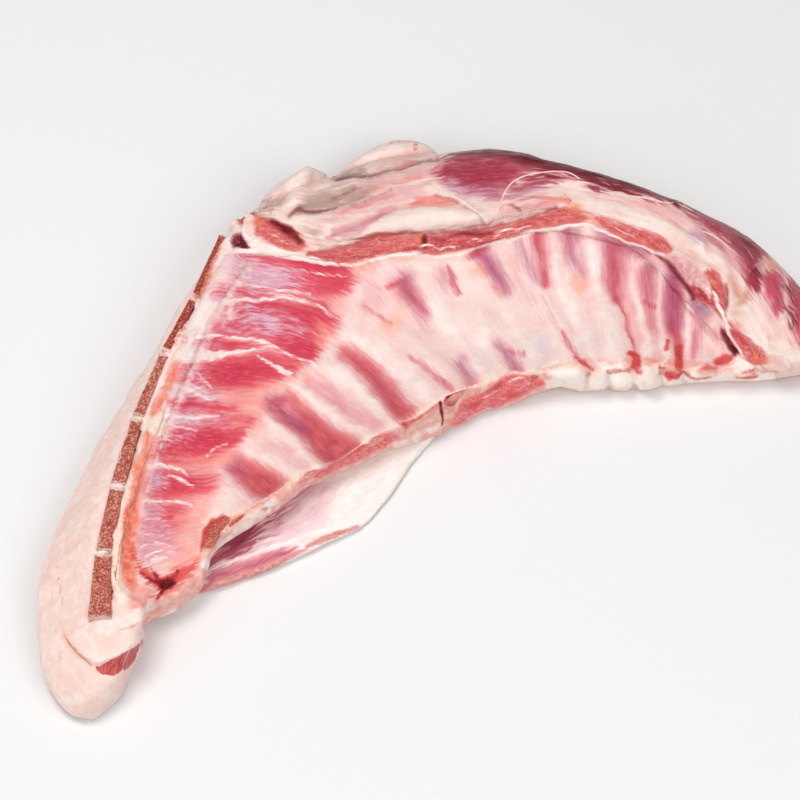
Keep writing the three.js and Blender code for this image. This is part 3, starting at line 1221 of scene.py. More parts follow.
LAYER_GRISTLE_PALE = Layer("gristle_pale", 0xFDE8D8, 0xF9D4BE, 1.6, 0.5, 0.45, 0.95)
LAYER_NUB = Layer("nub", 0xFCEEE8, 0xF6DCD6, 3, 0.5, 0.5, 0.9)
LAYER_LUMP = Layer("lump", 0xF6BAAE, 0xEC948A, 3.6, 0.5, 0.5, 0.9)
LAYER_OUTER = Layer("outer", 0xF6DCD0, 0xE2AA9E, 7, 0.5, 0.3)


WALL_TISSUES: Tissues = {
    "seams": SKIRT_SEAMS, "dark": SKIRT_DARK_AND_SHADOW, "meat": SKIRT_MEAT, "frayed": FRAYED, "blood": BLOOD_SPOT,
    "sore": SORE_SPOT, "lump": SALMON_LUMP, "gristle": GRISTLE, "gristle_pale": GRISTLE_PALE, "nub": NUB,
    # red lobes beside the breastbone, and the white sheets of sinew between them
    "muscles": Tissue(8, (
        Patch((233, 278, 240, 255, 269, 257, 297, 261, 336, 265, 353, 272, 353, 290, 323, 300, 308, 295, 280,
            290, 246, 286, 233, 283)),
        Patch((211, 291, 234, 285, 262, 289, 290, 294, 323, 303, 330, 312, 317, 307, 297, 298, 281, 297, 246,
            301, 216, 300)),
        Patch((226, 308, 250, 303, 281, 299, 300, 302, 320, 310, 335, 318, 335, 327, 326, 336, 320, 343, 316,
            352, 313, 362, 298, 358, 285, 352, 264, 341, 246, 337, 218, 337, 206, 333, 216, 321)),
        Patch((194, 341, 215, 339, 240, 341, 262, 346, 245, 350, 222, 353, 203, 351)),
        Patch((184, 359, 208, 361, 227, 356, 250, 354, 281, 354, 306, 366, 300, 373, 281, 378, 263, 386, 240,
            391, 215, 391, 190, 387, 176, 384, 178, 370)),
        Patch((168, 403, 181, 398, 200, 400, 226, 406, 240, 410, 218, 414, 192, 413, 176, 410)),
        Patch((164, 432, 192, 424, 215, 417, 240, 416, 256, 421, 248, 430, 240, 435, 231, 446, 222, 455, 199,
            463, 161, 466, 146, 460, 149, 445, 153, 438)),
        Patch((144, 473, 167, 469, 190, 474, 205, 477, 219, 480, 212, 490, 192, 497, 152, 501, 140, 491)),
        Patch((140, 509, 150, 502, 168, 501, 192, 505, 184, 518, 176, 534, 160, 543, 146, 536), 0.75),
    )),
    "tendons": Tissue(1.4, (
        Stroke((219, 303, 240, 302, 263, 300, 281, 298, 299, 299, 317, 306, 333, 317), (2.2, 1.2, 0.8)),
        Stroke((193, 338, 218, 338, 246, 338, 264, 342, 285, 352, 310, 364), (2.4, 1.2, 1.6, 1, 1)),
        Stroke((186, 358, 208, 357, 224, 354, 246, 352, 262, 350, 273, 348), (5, 3, 1.6, 1)),
        Stroke((258, 357, 270, 364, 281, 371, 292, 376), (0.4, 1.2, 2.6, 1.4)),
        Stroke((310, 295, 290, 292, 262, 288, 236, 284), (1, 0.7, 1)),
        Stroke((300, 271, 320, 275, 345, 277), (0.4, 0.8, 0.5)),
        Stroke((268, 293, 292, 297, 312, 303), (0.5, 0.7, 0.5), 0.9),
        Stroke((178, 388, 196, 394, 211, 401), (2.2, 1.4, 0.7)),
        Stroke((163, 415, 190, 418, 219, 416), (2.6, 1.4, 0.7)),
        Stroke((166, 424, 180, 430, 196, 431), (1.8, 1.2, 0.6)),
        Stroke((143, 466, 167, 468, 181, 470, 189, 476), (2.8, 1.6, 0.7)),
        Stroke((167, 476, 180, 480, 194, 487), (0.6, 2.2, 0.7)),
        Stroke((140, 504, 160, 503, 177, 502, 192, 506), (1.6, 1, 1.2)),
        Stroke((207, 456, 216, 448, 226, 443), (0.6, 1, 0.5), 0.8),
        Stroke((186, 374, 198, 381, 212, 388), (0.4, 0.8, 0.4), 0.8),
        Stroke((179, 383, 196, 388, 214, 398), (0.4, 0.7, 0.4), 0.8),
        Stroke((139, 540, 150, 534, 164, 536), (0.4, 0.9, 0.3), 0.8),
        Stroke((142, 549, 156, 543, 172, 547), (0.5, 1, 0.4), 0.8),
        Stroke((147, 558, 160, 551, 174, 552), (0.5, 1.1, 0.4), 0.9),
        Stroke((150, 566, 158, 556, 168, 559), (0.6, 1, 0.3), 0.9),
        Stroke((146, 437, 160, 440, 176, 446), (0.4, 0.8, 0.3), 0.7),
        Stroke((222, 320, 246, 316, 270, 319), (0.3, 0.6, 0.3), 0.5),
        *strokes((0.3, 0.7, 0.3), 0.7, (140, 523, 152, 520, 166, 522), (196, 372, 204, 382, 214, 389)),
        *strokes((0.4, 0.6, 0.3), 0.6, (240, 268, 262, 272, 290, 279), (236, 276, 260, 281, 286, 286)),
    )),
    # thin violet skin that hangs in shreds over the last lobe
    "membrane": Tissue(7, (
        Patch((139, 496, 135, 512, 131, 530, 134, 546, 141, 560, 150, 570, 156, 562, 166, 556, 178, 547, 172,
            530, 160, 520, 165, 508, 152, 500)),
        Stroke((146, 470, 143, 484, 142, 498), (5, 5, 4), 0.8), Stroke((152, 444, 149, 460), (4, 4), 0.7),
        Stroke((150, 566, 168, 558, 182, 548), (2, 2, 1), 0.7),
    )),
    # pale skin where the lobes meet the breastbone's fat
    "kerb": Tissue(6, (
        Dab((226, 312), (10, 14), 0.7, 30),
        Stroke((250, 262, 224, 300, 194, 363, 170, 421, 153, 460, 143, 500, 134, 540), (5, 4, 3.4, 2.6, 1.6,
            1, 0.5), 0.9),
    )),
    # deeper and warmer parts of the lobes, the painted lavender sheen over them, and the flesh around them
    "deep": Tissue(7, (
        Dab((300, 350), (17, 9), 1, 20), Dab((238, 372), (22, 10), 0.9, -6),
        Dab((264, 372), (13, 6), 0.9, 12), Dab((318, 314), (14, 5), 0.8, 26),
        Dab((212, 440), (24, 9), 0.9, -8), Dab((228, 345), (20, 3), 0.8, 8), Dab((336, 284), (14, 8), 0.7),
        Dab((186, 484), (18, 7), 0.8, 4), Dab((196, 406), (20, 4), 0.7, 6), Dab((300, 319), (13, 6), 0.8, 8),
        Stroke((284, 262, 315, 266, 344, 270), (4, 6, 4)),
        Stroke((228, 309, 250, 305, 276, 303), (2, 4, 2), 0.8),
        Stroke((239, 255, 262, 255, 290, 261), (1.6, 2.4, 2.4)),
    )),
    "glow": Tissue(9, (
        Dab((325, 333), (10, 13), 0.9), Dab((268, 386), (15, 6), 0.9, -12), Dab((244, 402), (32, 8), 1, 8),
        Dab((300, 366), (16, 6), 0.7, 28), Dab((240, 428), (14, 7), 0.7), Dab((208, 461), (22, 6), 0.9, -10),
        Dab((206, 488), (12, 6), 0.8), Dab((182, 522), (14, 9), 0.9), Dab((360, 268), (14, 9), 0.8),
        Dab((176, 560), (16, 7), 0.9, -25), Dab((196, 540), (9, 12), 0.6, 20),
        Dab((222, 358), (22, 4), 0.7, -8), Dab((180, 548), (26, 9), 0.9, 14), Dab((170, 462), (16, 4), 0.6),
    )),
    # painted lavender sheen over the lobes
    "painted_sheen": Tissue(7, (
        Dab((264, 277), (36, 14), 1, 8), Dab((249, 263), (18, 8), 0.8, 12),
        Dab((266, 322), (34, 13), 0.75, 16), Dab((222, 297), (16, 5), 0.8), Dab((190, 392), (24, 6), 1, 12),
        Dab((184, 419), (28, 6), 1, 4), Dab((152, 449), (9, 12), 0.8), Dab((200, 344), (14, 5), 0.7),
        Dab((154, 482), (12, 12), 0.8), Dab((192, 374), (14, 8), 0.7, 20), Dab((170, 440), (18, 6), 0.6, -8),
        Dab((262, 294), (26, 4), 0.8, 8), Dab((236, 330), (20, 6), 0.5),
    )),
    "flesh": Tissue(14, (
        Patch((240, 262, 297, 264, 350, 270, 354, 292, 340, 318, 322, 350, 306, 368, 280, 384, 262, 398, 254,
            424, 236, 442, 224, 464, 218, 490, 200, 520, 180, 545, 158, 548, 146, 520, 150, 480, 160, 445,
            172, 422, 180, 400, 186, 372, 204, 346, 218, 322, 228, 292)),
    )),
    # coloured flesh that shows through the lining between the ribs
    "stripes": Tissue(8, (
        Patch((227, 462, 238, 456, 255, 463, 280, 477, 284, 483, 266, 502, 251, 493, 232, 473)),
        Patch((265, 402, 286, 390, 306, 405, 326, 423, 349, 436, 362, 443, 350, 456, 331, 468, 316, 456, 303,
            440, 283, 420)),
        Patch((338, 353, 345, 345, 367, 356, 388, 378, 406, 401, 416, 410, 402, 423, 392, 416, 383, 404, 372,
            385, 356, 371)),
        Patch((670, 273, 681, 283, 679, 297, 678, 313, 680, 342, 682, 368, 677, 368, 673, 342, 667, 325, 670,
            313, 666, 297)),
        Stroke((537, 234, 541, 253, 546, 281), (4.5, 4, 2.2), 0.95),
        Stroke((405, 284, 415, 299, 424, 312), (4, 4.5, 2), 0.9),
        Stroke((612, 250, 613, 262, 615, 281, 618, 297), (6, 8, 6, 3), 0.95),
        Stroke((644, 273, 646, 291, 651, 309, 653, 326), (4, 3, 2), 0.8),
    )),
    "rosy": Tissue(8, (
        Dab((246, 500), (10, 8), 0.4), Dab((372, 296), (18, 20), 0.45), Dab((320, 389), (15, 9), 1, 30),
        Stroke((263, 444, 293, 453, 308, 467), (6, 7, 6), 0.55),
        Stroke((313, 383, 331, 393, 349, 412, 378, 425), (8, 9, 8, 4)),
        Stroke((692, 314, 694, 356), (7, 6), 0.75), Stroke((654, 268, 655, 300, 656, 350), (7, 7, 6), 0.8),
        Stroke((420, 362, 446, 386), (7, 7), 0.45), Stroke((622, 250, 630, 290, 640, 340), (8, 7, 5), 0.8),
        Stroke((508, 250, 526, 290, 540, 320), (5, 7, 4), 0.4),
        Stroke((436, 268, 448, 290, 458, 310), (5, 6, 3), 0.35),
        Stroke((395, 275, 405, 300, 424, 330), (9, 11, 6), 0.5),
        Stroke((700, 300, 712, 330, 718, 350), (4, 6, 5), 0.6), Stroke((458, 356, 474, 386), (7, 6), 0.5),
        *strokes((5, 6, 4), 0.5, (578, 240, 588, 280, 606, 335), (544, 240, 556, 290, 570, 330)),
    )),
    "bruises": Tissue(8.5, (
        Dab((234, 464), (10, 8), 0.9, 35), Dab((699, 307), (9, 6), 1, 45), Dab((444, 277), (6, 9), 0.5, -20),
        Stroke((267, 402, 282, 408, 303, 429), (6, 8, 4), 0.95), Stroke((374, 378, 390, 400), (3, 3), 0.5),
        Stroke((406, 278, 405, 289, 418, 303, 427, 317), (7, 6, 4.5, 2.5), 0.75),
        Stroke((480, 250, 492, 266, 505, 290), (6, 7, 3.5)),
        Stroke((519, 242, 527, 260, 537, 279), (3.5, 4, 2), 0.7),
        Stroke((567, 230, 572, 253, 581, 272), (9, 6, 3), 0.75),
        Stroke((600, 236, 612, 242, 628, 249, 645, 254), (2, 4.5, 4.5, 3), 0.95),
        Stroke((609, 246, 612, 268, 617, 296), (9, 7, 4), 0.5),
        Stroke((675, 272, 672, 300, 675, 325), (8, 8, 5)), Stroke((646, 268, 650, 294), (5, 3.5), 0.7),
        Stroke((703, 316, 695, 345), (4, 3), 0.6), Stroke((461, 362, 468, 377, 473, 386), (4, 4, 3), 0.75),
        Stroke((498, 345, 507, 356, 516, 366), (2, 3.6, 3), 0.95),
    )),
    "streaks": Tissue(3.6, (
        Dab((478, 252), (10, 4.5), 1, -28), Stroke((388, 287, 395, 283, 402, 279), (1.2, 2.2, 1.2)),
        Stroke((448, 268, 454, 279, 460, 292), (1.4, 2.2, 1.4)),
        Stroke((537, 238, 541, 252), (1.6, 2.2), 0.8), Stroke((544, 273, 546, 284), (1.6, 2)),
        Stroke((617, 297, 625, 318, 634, 341, 638, 357), (2.4, 1.4, 1, 1.4)),
        Stroke((409, 357, 424, 365, 439, 378, 452, 388), (0.8, 1.4, 2.4, 2.4), 0.75),
        Stroke((561, 331, 569, 346, 577, 356), (0.9, 1.6, 1.3), 0.85),
        Stroke((507, 349, 524, 354), (0.8, 0.8), 0.85), Stroke((510, 368, 522, 369), (1.6, 1.4), 0.7),
        Stroke((542, 298, 550, 316, 556, 328), (0.7, 0.8, 0.5), 0.55),
        Stroke((365, 306, 378, 313, 390, 321), (0.5, 0.8, 0.8), 0.7),
        Stroke((646, 301, 655, 306), (1.2, 1.4)), Stroke((640, 254, 652, 256, 662, 260), (2, 2.4, 1.4)),
        Stroke((694, 332, 693, 356), (1.2, 1.2), 0.7), Stroke((677, 328, 680, 364), (1.6, 1.6), 0.8),
        Stroke((612, 262, 615, 290), (1.5, 1.5), 0.6),
    )),
    # warm and white parts of the lining, and the painted grey shade on it
    "warm": Tissue(9, (
        Dab((391, 322), (9, 8), 0.85), Dab((580, 286), (8, 9), 0.9), Dab((597, 301), (8, 9), 0.6),
        Dab((396, 294), (6, 10), 0.8, -35), Dab((480, 271), (8, 13), 0.8, -30),
        Dab((496, 287), (6, 11), 0.7, -30), Dab((565, 248), (5, 9), 0.6), Dab((354, 262), (18, 6), 0.7),
        Dab((392, 257), (26, 5), 0.45), Dab((354, 322), (9, 16), 0.55, 20), Dab((260, 420), (8, 10), 0.6),
        Dab((418, 411), (14, 5), 0.6, -35), Dab((284, 484), (12, 5), 0.7, -30),
        Dab((470, 384), (10, 5), 0.6, -15), Dab((628, 320), (6, 18), 0.5, -15),
        Dab((186, 556), (16, 8), 0.7, 20), Dab((212, 512), (10, 14), 0.5, 30),
        Stroke((288, 391, 308, 405), (6, 3), 0.8), Stroke((240, 456, 262, 472), (5, 4), 0.8),
    )),
    # painted grey shade on the lining and on the sides of the ribs
    "grey_shade": Tissue(9, (
        Dab((478, 361), (14, 9), 0.6), Dab((543, 347), (14, 12), 0.7), Dab((374, 392), (5, 13), 0.7, -38),
        Dab((408, 396), (8, 9), 0.5, -38), Dab((336, 428), (7, 14), 0.5, -50), Dab((596, 338), (10, 14), 0.5),
        Dab((520, 300), (10, 10), 0.35), Dab((232, 508), (12, 7), 0.4),
    )),
    "white": Tissue(6, (
        Dab((474, 328), (16, 18), 0.8, -30),
        Stroke((218, 500, 226, 458, 254, 424, 262, 396, 296, 374, 316, 364, 338, 338, 352, 312, 358, 290), (5,
            5, 4, 4, 5, 7, 7)),
        Stroke((258, 408, 277, 426, 297, 446, 317, 464), (4, 4, 3)),
        Stroke((238, 450, 257, 456, 282, 471, 302, 474), (3, 3, 2.5)),
        Stroke((293, 384, 329, 409, 366, 437), (4, 4.5, 3)),
        Stroke((316, 366, 349, 375, 374, 396, 390, 422), (7, 7, 5.5, 3)),
        Stroke((343, 335, 382, 356, 407, 378, 434, 398), (9, 11, 9, 6)),
        Stroke((430, 302, 452, 336, 484, 376), (8, 11, 5), 0.9),
        Stroke((505, 300, 520, 333, 540, 366), (8, 9, 5), 0.8),
        Stroke((634, 275, 641, 310, 650, 350), (4, 5, 5), 0.7),
        Stroke((660, 275, 661, 320, 668, 355), (4, 6, 5), 0.9), Stroke((686, 300, 686, 350), (4, 4), 0.9),
        Stroke((205, 545, 214, 520, 222, 490), (5, 6, 6), 0.9),
        Stroke((360, 270, 420, 264, 470, 262), (4, 4), 0.5),
        *strokes((6, 8, 6), 0.9, (556, 262, 566, 300, 590, 352), (592, 250, 598, 300, 616, 352)),
    )),
    # what the saw laid bare along the lower edge
    "rim": Tissue(4, (
        Patch((546, 376, 556, 368, 575, 363, 600, 360, 616, 362, 640, 362, 664, 366, 690, 367, 720, 370, 745,
            373, 800, 372, 812, 400, 740, 404, 700, 404, 656, 408, 600, 408, 560, 404, 546, 396)),
        Stroke((530, 372, 552, 366, 574, 364, 598, 362, 622, 362), (2, 4, 4, 4, 2.5), 0.75),
        Stroke((690, 362, 716, 366, 740, 362, 766, 366), (2, 2.5, 2.5, 2), 0.6),
        Stroke((204, 566, 216, 551, 240, 530, 262, 512, 276, 502), (3, 4, 4, 2.5)),
        Stroke((395, 446, 420, 437, 444, 426), (2, 3, 1.5), 0.8),
    )),
    "face": Tissue(1.6, (
        Patch((464, 400, 479, 394, 494, 384, 508, 377, 528, 374, 541, 376, 546, 385, 528, 394, 506, 405, 494,
            411, 489, 408, 471, 417, 459, 426, 447, 428, 454, 416)),
        Patch((302, 477, 313, 470, 331, 469, 349, 458, 366, 446, 377, 436, 393, 433, 400, 436, 384, 449, 366,
            457, 345, 467, 320, 479)),
    )),
    "coral": Tissue(3, (
        Dab((653, 362), (12, 5), 0.9, -8), Dab((694, 364), (10, 4), 0.85), Dab((585, 365), (13, 6), 0.8, 24),
        Dab((632, 361), (9, 10), 0.8, 10), Dab((676, 366), (13, 8), 0.8, 12), Dab((712, 368), (13, 6), 0.8),
        Dab((724, 360), (11, 7), 0.8, -20), Dab((768, 369), (13, 5), 0.8),
        Dab((746, 378), (11, 3.5), 0.8, -4), Stroke((536, 371, 560, 366), (1.5, 1.5), 0.6),
        Stroke((612, 362, 600, 360), (2, 2), 0.5),
    )),
    "lip": Tissue(1, (
        Stroke((229, 515, 250, 507, 266, 500, 284, 486, 299, 476), (1, 1, 2.4, 3, 1.2)),
        Stroke((331, 467, 349, 455, 366, 442, 377, 433, 393, 430, 404, 426), (0.8, 0.8)),
        Stroke((414, 418, 441, 402, 448, 394, 460, 390, 479, 386, 494, 379, 506, 374, 528, 372, 544, 371, 571,
            363), (1, 1.2, 1.2)),
        Stroke((509, 384, 517, 379, 525, 377), (0.3, 0.8, 0.4), 0.9),
        Stroke((520, 388, 527, 384, 536, 381), (0.3, 0.7, 0.4), 0.8),
        Stroke((476, 402, 488, 396, 499, 392), (0.3, 0.6, 0.3), 0.7),
        Stroke((452, 421, 462, 414, 472, 410), (0.3, 0.7, 0.3), 0.7),
    )),
    "raw": Tissue(1.8, (
        Dab((497, 387), (9, 3), 0.8, -24), Dab((476, 405), (9, 3), 0.7, -28),
        Dab((514, 394), (9, 3), 0.7, -20), Dab((404, 425), (4, 3)),
        Patch((625, 354, 631, 350, 638, 353, 641, 361, 640, 369, 634, 371, 630, 366, 632, 360), 0.9),
        Patch((713, 361, 718, 355, 731, 353, 734, 358, 726, 364, 716, 366), 0.8),
        Dab((769, 368), (10, 4), 0.95, 6), Stroke((329, 468, 347, 458, 365, 446), (0.9, 1.1, 0.9)),
        Stroke((404, 425, 414, 421, 425, 413, 440, 405), (1.2, 0.8, 0.8)),
        Stroke((575, 358, 582, 362, 592, 369), (1.2, 2.6, 1), 0.85),
        Stroke((626, 369, 634, 371, 642, 370), (0.6, 1, 0.5)), Stroke((667, 341, 665, 350), (2, 1.6), 0.9),
        Stroke((660, 368, 668, 374, 678, 375, 689, 373), (1.2, 2.6, 2.2, 0.8)),
        Stroke((678, 348, 679, 367), (4, 4), 0.9), Stroke((689, 374, 700, 377, 710, 376), (0.5, 0.8, 0.5)),
        Stroke((700, 369, 708, 367, 716, 368), (1, 1.8, 0.8), 0.8),
        Stroke((737, 377, 747, 379, 757, 377), (0.8, 1.4, 0.8), 0.9),
        Stroke((742, 373, 756, 369), (0.6, 0.9), 0.8),
        Stroke((201, 550, 205, 537, 213, 525, 224, 516), (1, 2.2, 2.2, 1)),
    )),
    "drip": Tissue(1, (Dab((450, 397), (3, 2)), Stroke((441, 403, 442, 417, 443, 426), (1.1, 0.9, 0.9)))),
    "bone_end": Tissue(1.2, (
        Patch((202, 549, 204, 539, 212, 526, 222, 517, 230, 515, 230, 521, 221, 534, 212, 543, 206, 549)),
        Patch((232, 519, 246, 511, 243, 517, 236, 524, 227, 530), 0.8),
        Patch((443, 397, 452, 394, 461, 393, 458, 405, 446, 407)),
    )),
}


@dataclass
class RibWall(Piece):
    """The curved wall of ribs under its pale lining, with the red muscles beside the breastbone."""

    name: str = "rib_wall_lining"
    node: str = "rib_wall"
    slot: str = "lining"
    neighbours: Tuple[str, ...] = ("brisket_fat", "flank", "skirt")
    filled_by: Tuple[str, ...] = tuple(f"rib_{i + 1}" for i in range(RIB_COUNT))
    rounds: int = 12
    uneven: float = 0.3
    seed: int = 11
    tissues: Tissues = field(default_factory=lambda: WALL_TISSUES)
    socket: float = 1.3
    end_reach: float = 1.2
    end_depth: float = 1.5
    end_past: float = 3.0
    fibre_step: float = 9.0
    thread: float = 1.7
    thread_height: float = 0.18
    ragged: float = 8.0
    ragged_height: float = 0.9
    lip_blend: float = 1.5
    sinew: Spot = (0.2, 0.22)
    heights: Heights = (
        ("stripes", -1.5), ("bruises", -0.9), ("white", 1.0), ("tendons", 0.5), ("rosy", -0.7),
        ("streaks", -0.5), ("muscles", 0.5))
    traces: Traces = (("marble", "meat", MARBLING),)
    sawn_lip: Line = (150, 600, 178, 580, 202, 549, 211, 531, 229, 515, 250, 507, 266, 500, 284, 486, 299,
                      477, 313, 470, 331, 468, 349, 456, 366, 443, 377, 434, 393, 431, 404, 427, 414, 419,
                      441, 404, 448, 395, 460, 391, 479, 387, 494, 380, 506, 375, 528, 373, 544, 372, 571,
                      364, 600, 361, 640, 362, 690, 366, 740, 370, 800, 372)

    def seam(self, skin: Skin, frame: dict) -> None:
        """Sets back the sawn face over each rib's end, so that the bone shows, and joins the seams.

        Args:
            skin: The piece's fine mesh.
            frame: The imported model.
        """
        super().seam(skin, frame)
        reach = self.end_reach * MM
        for name in self.filled_by:
            tree, points = tree_of(frame["nodes"][name])
            spread = points - points.mean(0)
            axis = np.linalg.svd(spread, full_matrices=False)[2][0]
            axis = axis if axis[1] < 0 else -axis
            end = (spread @ axis).max()
            run = (skin.points - points.mean(0)) @ axis
            near = (run > end - self.end_depth * MM) & (run < end + self.end_past * MM)
            for i in np.flatnonzero(near):
                place, _, _, _ = tree.find_nearest(Vector(skin.points[i]), reach)
                if place is not None:
                    skin.points[i] -= self.socket * MM * axis

    def forms(self) -> tuple:
        """Gives the ridge between lobes and ribs, and the lumps of fat along the sawn edge.

        Returns:
            The forms.
        """
        lumps = ((572, 377, 18, 2.4), (598, 379, 12, 2.8), (621, 380, 11, 4.2), (647, 380, 13, 4.8),
                 (672, 379, 10, 2.6), (694, 377, 11, 2.2), (716, 376, 9, 1.8), (738, 375, 9, 1.5))
        clefts = ((609, 373, 609, 394), (633, 371, 634, 394), (661, 374, 662, 392), (587, 376, 585, 390),
                  (683, 375, 684, 388))
        ridge = (205, 530, 220, 496, 227, 458, 255, 424, 263, 396, 296, 373, 318, 362, 338, 338, 352, 312,
                 358, 290)
        kerb = (126, 572, 131, 540, 138, 500, 147, 460, 160, 421, 183, 363, 213, 300, 243, 258)
        flat = 0.75
        return (Ridge(ridge, 1.2, 9), Fold(kerb, 2, 11, 0.5), Lump((231, 271), (13, 20), 1.6, 30),
                *(Lump((x, y), (r, flat * r), height) for x, y, r, height in lumps),
                *(Ridge(cleft, -2.6, 3) for cleft in clefts))

    def trims(self) -> Tuple[Trim, ...]:
        """Gives the outline of the sawn edge's foot."""
        return (Trim(LOWER_OUTLINE, upper=False),)

    def relief(self, skin: Skin) -> np.ndarray:
        """Adds the muscles' threads and the ragged sawn face to the rise of the tissues.

        Args:
            skin: The piece's fine mesh.

        Returns:
            Millimetres that each point moves out.
        """
        along, across = self.fibres(skin.spots)
        place = np.stack([along / self.fibre_step, across, 0 * along], axis=1)
        threads = skin.covers["muscles"] * Noise(self.seed + 3).at(place, self.thread)
        below, _, _ = follow(corners(self.sawn_lip), skin.spots)
        ragged = Noise(self.seed + 4).cloud(skin.points / MM, self.ragged)
        ragged *= step(-self.lip_blend, self.lip_blend, below)
        lift = super().relief(skin)
        return lift + self.ragged_height * ragged + self.thread_height * threads

    def mark(self, skin: Skin) -> None:
        """Adds the sawn face below the lip and the white threads in the muscles.

        Args:
            skin: The piece's fine mesh.
        """
        super().mark(skin)
        below, _, _ = follow(corners(self.sawn_lip), skin.spots)
        skin.store("sawn", np.clip(0.5 + 0.5 * below, 0.0, 1.0))
        # the white threads show more under the painted sheen
        least, under_sheen = self.sinew
        skin.store("sinew", skin.covers["muscles"] * (least + under_sheen * skin.covers["painted_sheen"]))

    def flow(self) -> Tuple[Line, ...]:
        """Gives the run of the fibres across the lobes and of the strands between the ribs."""
        return (
            (130, 570, 165, 560, 205, 545), (140, 512, 180, 512, 205, 520, 235, 530),
            (143, 465, 189, 476, 222, 470, 240, 476, 266, 502),
            (163, 413, 218, 416, 255, 415, 290, 445, 322, 472),
            (184, 357, 246, 353, 285, 352, 311, 362, 345, 385, 395, 428),
            (216, 299, 281, 297, 317, 308, 345, 330, 385, 360, 430, 395),
            (241, 254, 297, 262, 352, 285, 375, 300, 408, 350, 450, 395),
            (386, 270, 400, 284, 427, 317, 480, 380), (440, 255, 460, 291, 510, 370),
            (480, 247, 505, 289, 540, 365), (536, 235, 545, 285, 578, 360), (567, 231, 577, 271, 605, 365),
            (607, 237, 615, 281, 640, 362), (644, 262, 652, 326, 660, 368), (676, 270, 671, 302, 679, 365),
            (708, 300, 702, 340, 706, 375),
        )

    def finish(self) -> Finish:
        """Gives the moist lining over muscle, fat and bone."""
        layers = (
            # painted shade in the hollows of the lining
            Layer("hollow_shade", 0xF5D2CC, 0xEFC2BE, 6, 0.4, 0.4, 0.6),
            # painted grey shade
            Layer("grey_shade", 0xDED2D9, 0xD0C4D0, 6, 0.4, 0.5, 0.75),
            LAYER_ROSY,
            Layer("warm", 0xFAB6A0, 0xF5A28E, 5, 0.5, 0.5, 0.85),
            Layer("white", 0xFAEAE4, 0xF7DCD5, 7, 0.4, 0.5, 0.85),
            LAYER_STRIPES, LAYER_BRUISES,
            Layer("streaks", 0xD65462, 0xBA3E56, 0.8, 0.5, 0.5, 0.8, FIBRE),
            Layer("flesh", 0xF4A8A0, 0xE88888, 1.8, 0.4, 0.5, 0.7, FIBRE),
            Layer("muscles", 0xE25E69, 0xD04153, 1.2, 0.45, 0.5, 1, FIBRE),
            Layer("glow", 0xF8A496, 0xF0867E, 1.5, 0.7, 0.5, 0.75, FIBRE),
            Layer("deep", 0xD63850, 0xBE2844, 1.2, 0.7, 0.5, 0.7, FIBRE),
            # painted lavender sheen
            Layer("painted_sheen", 0xE0CCDC, 0xD8A6BE, 1, 0.7, 0.5, 0.85, FIBRE),
            Layer("sinew", 0xF6C8CA, 0xE69CA8, 0.6, 1, 0.25, 0.4, FIBRE),
            Layer("membrane", 0xECB4BC, 0xDA8A98, 1, 0.9, 0.45, 0.9, FIBRE),
            Layer("tendons", 0xFCEEE8, 0xF8DAD4, 0.7, 0.7, 0.45, 1, FIBRE),
            LAYER_GRISTLE, LAYER_GRISTLE_PALE,
            Layer("kerb", 0xFAE4DE, 0xF0CACC, 4, 0.5, 0.5, 0.95),
            Layer("sawn", 0xF5C8BC, 0xEAA096, 3.4, 0.4, 0.5),
            Layer("rim", 0xFEF3EB, 0xFAE4D9, 4, 0.6, 0.5),
            Layer("face", 0xF69292, 0xDE6268, 0.8, 0.6, 0.45, 1, FIBRE),
            Layer("coral", 0xF4B6A8, 0xE88E84, 2.8, 0.6, 0.5, 0.85),
            Layer("bone_end", 0xD4826C, 0x964034, 1, 0.3, 0.3, 1, Weave.CELL),
            Layer("lip", 0xFCE6D8, 0xF4C4AA, 2, 0.7, 0.4),
            Layer("raw", 0xDE544A, 0xBC3036, 2, 0.5, 0.5, 0.9),
            Layer("drip", 0x821E20, 0x68141A, 1, 0.3, 0.3),
            LAYER_LUMP, LAYER_SORE, LAYER_NUB, LAYER_MEAT, LAYER_MARBLE, LAYER_FRAYED, LAYER_DARK_AND_SHADOW,
            LAYER_SEAMS, LAYER_BLOOD, LAYER_OUTER,
        )
        return Finish("lining", 0xFAE7E0, 0xF5D4CC, layers)


BRISKET_TISSUES: Tissues = {
    "gristle": GRISTLE, "gristle_pale": GRISTLE_PALE, "nub": NUB, "lump": SALMON_LUMP, "sore": SORE_SPOT,
    "pale": Tissue(2.2, (
        Stroke((239, 226, 250, 237, 256, 250), (2.4, 2.6, 3)), Stroke((230, 236, 234, 249), (3, 3)),
        Stroke((148, 638, 141, 655, 135, 664), (1.6, 1.6, 1)),
    )),
    "veins": Tissue(1.1, (
        Dab((91, 620), (2.5, 2)), Dab((105, 616), (2.5, 2)),
        Stroke((63, 636, 71, 646, 79, 653, 85, 658, 90, 663), (0.5, 1, 1, 0.8)),
        Stroke((58, 566, 59, 590, 61, 603), (0.5, 0.7, 0.4), 0.6),
        Stroke((120, 631, 132, 628, 144, 618), (0.7, 0.9, 0.6), 0.8),
        Stroke((113, 562, 118, 580, 123, 600), (0.7, 1, 0.7), 0.8),
    )),
    "cut": Tissue(1.4, (
        Patch((94, 666, 103, 665, 119, 657, 132, 648, 140, 641, 147, 634, 143, 647, 138, 655, 134, 662, 128,
            669, 120, 674, 112, 677, 102, 673)),
    )),
    # dark meat and painted shade in the pocket under the skirt's corner
    "pocket_dark_and_shade": Tissue(3, (Patch((236, 233, 243, 233, 249, 241, 250, 247, 243, 251, 235, 247, 232, 240)),)),
    "scarlet": Tissue(3, (Dab((247, 217), (9, 8)),)),
    "sawn": Tissue(3, (
        Stroke((223, 238, 214, 257, 206, 276, 199, 297), (1.6, 2.4, 3.6, 3)),
        Stroke((192, 310, 183, 327, 174, 345), (1, 2, 1), 0.7),
    )),
}


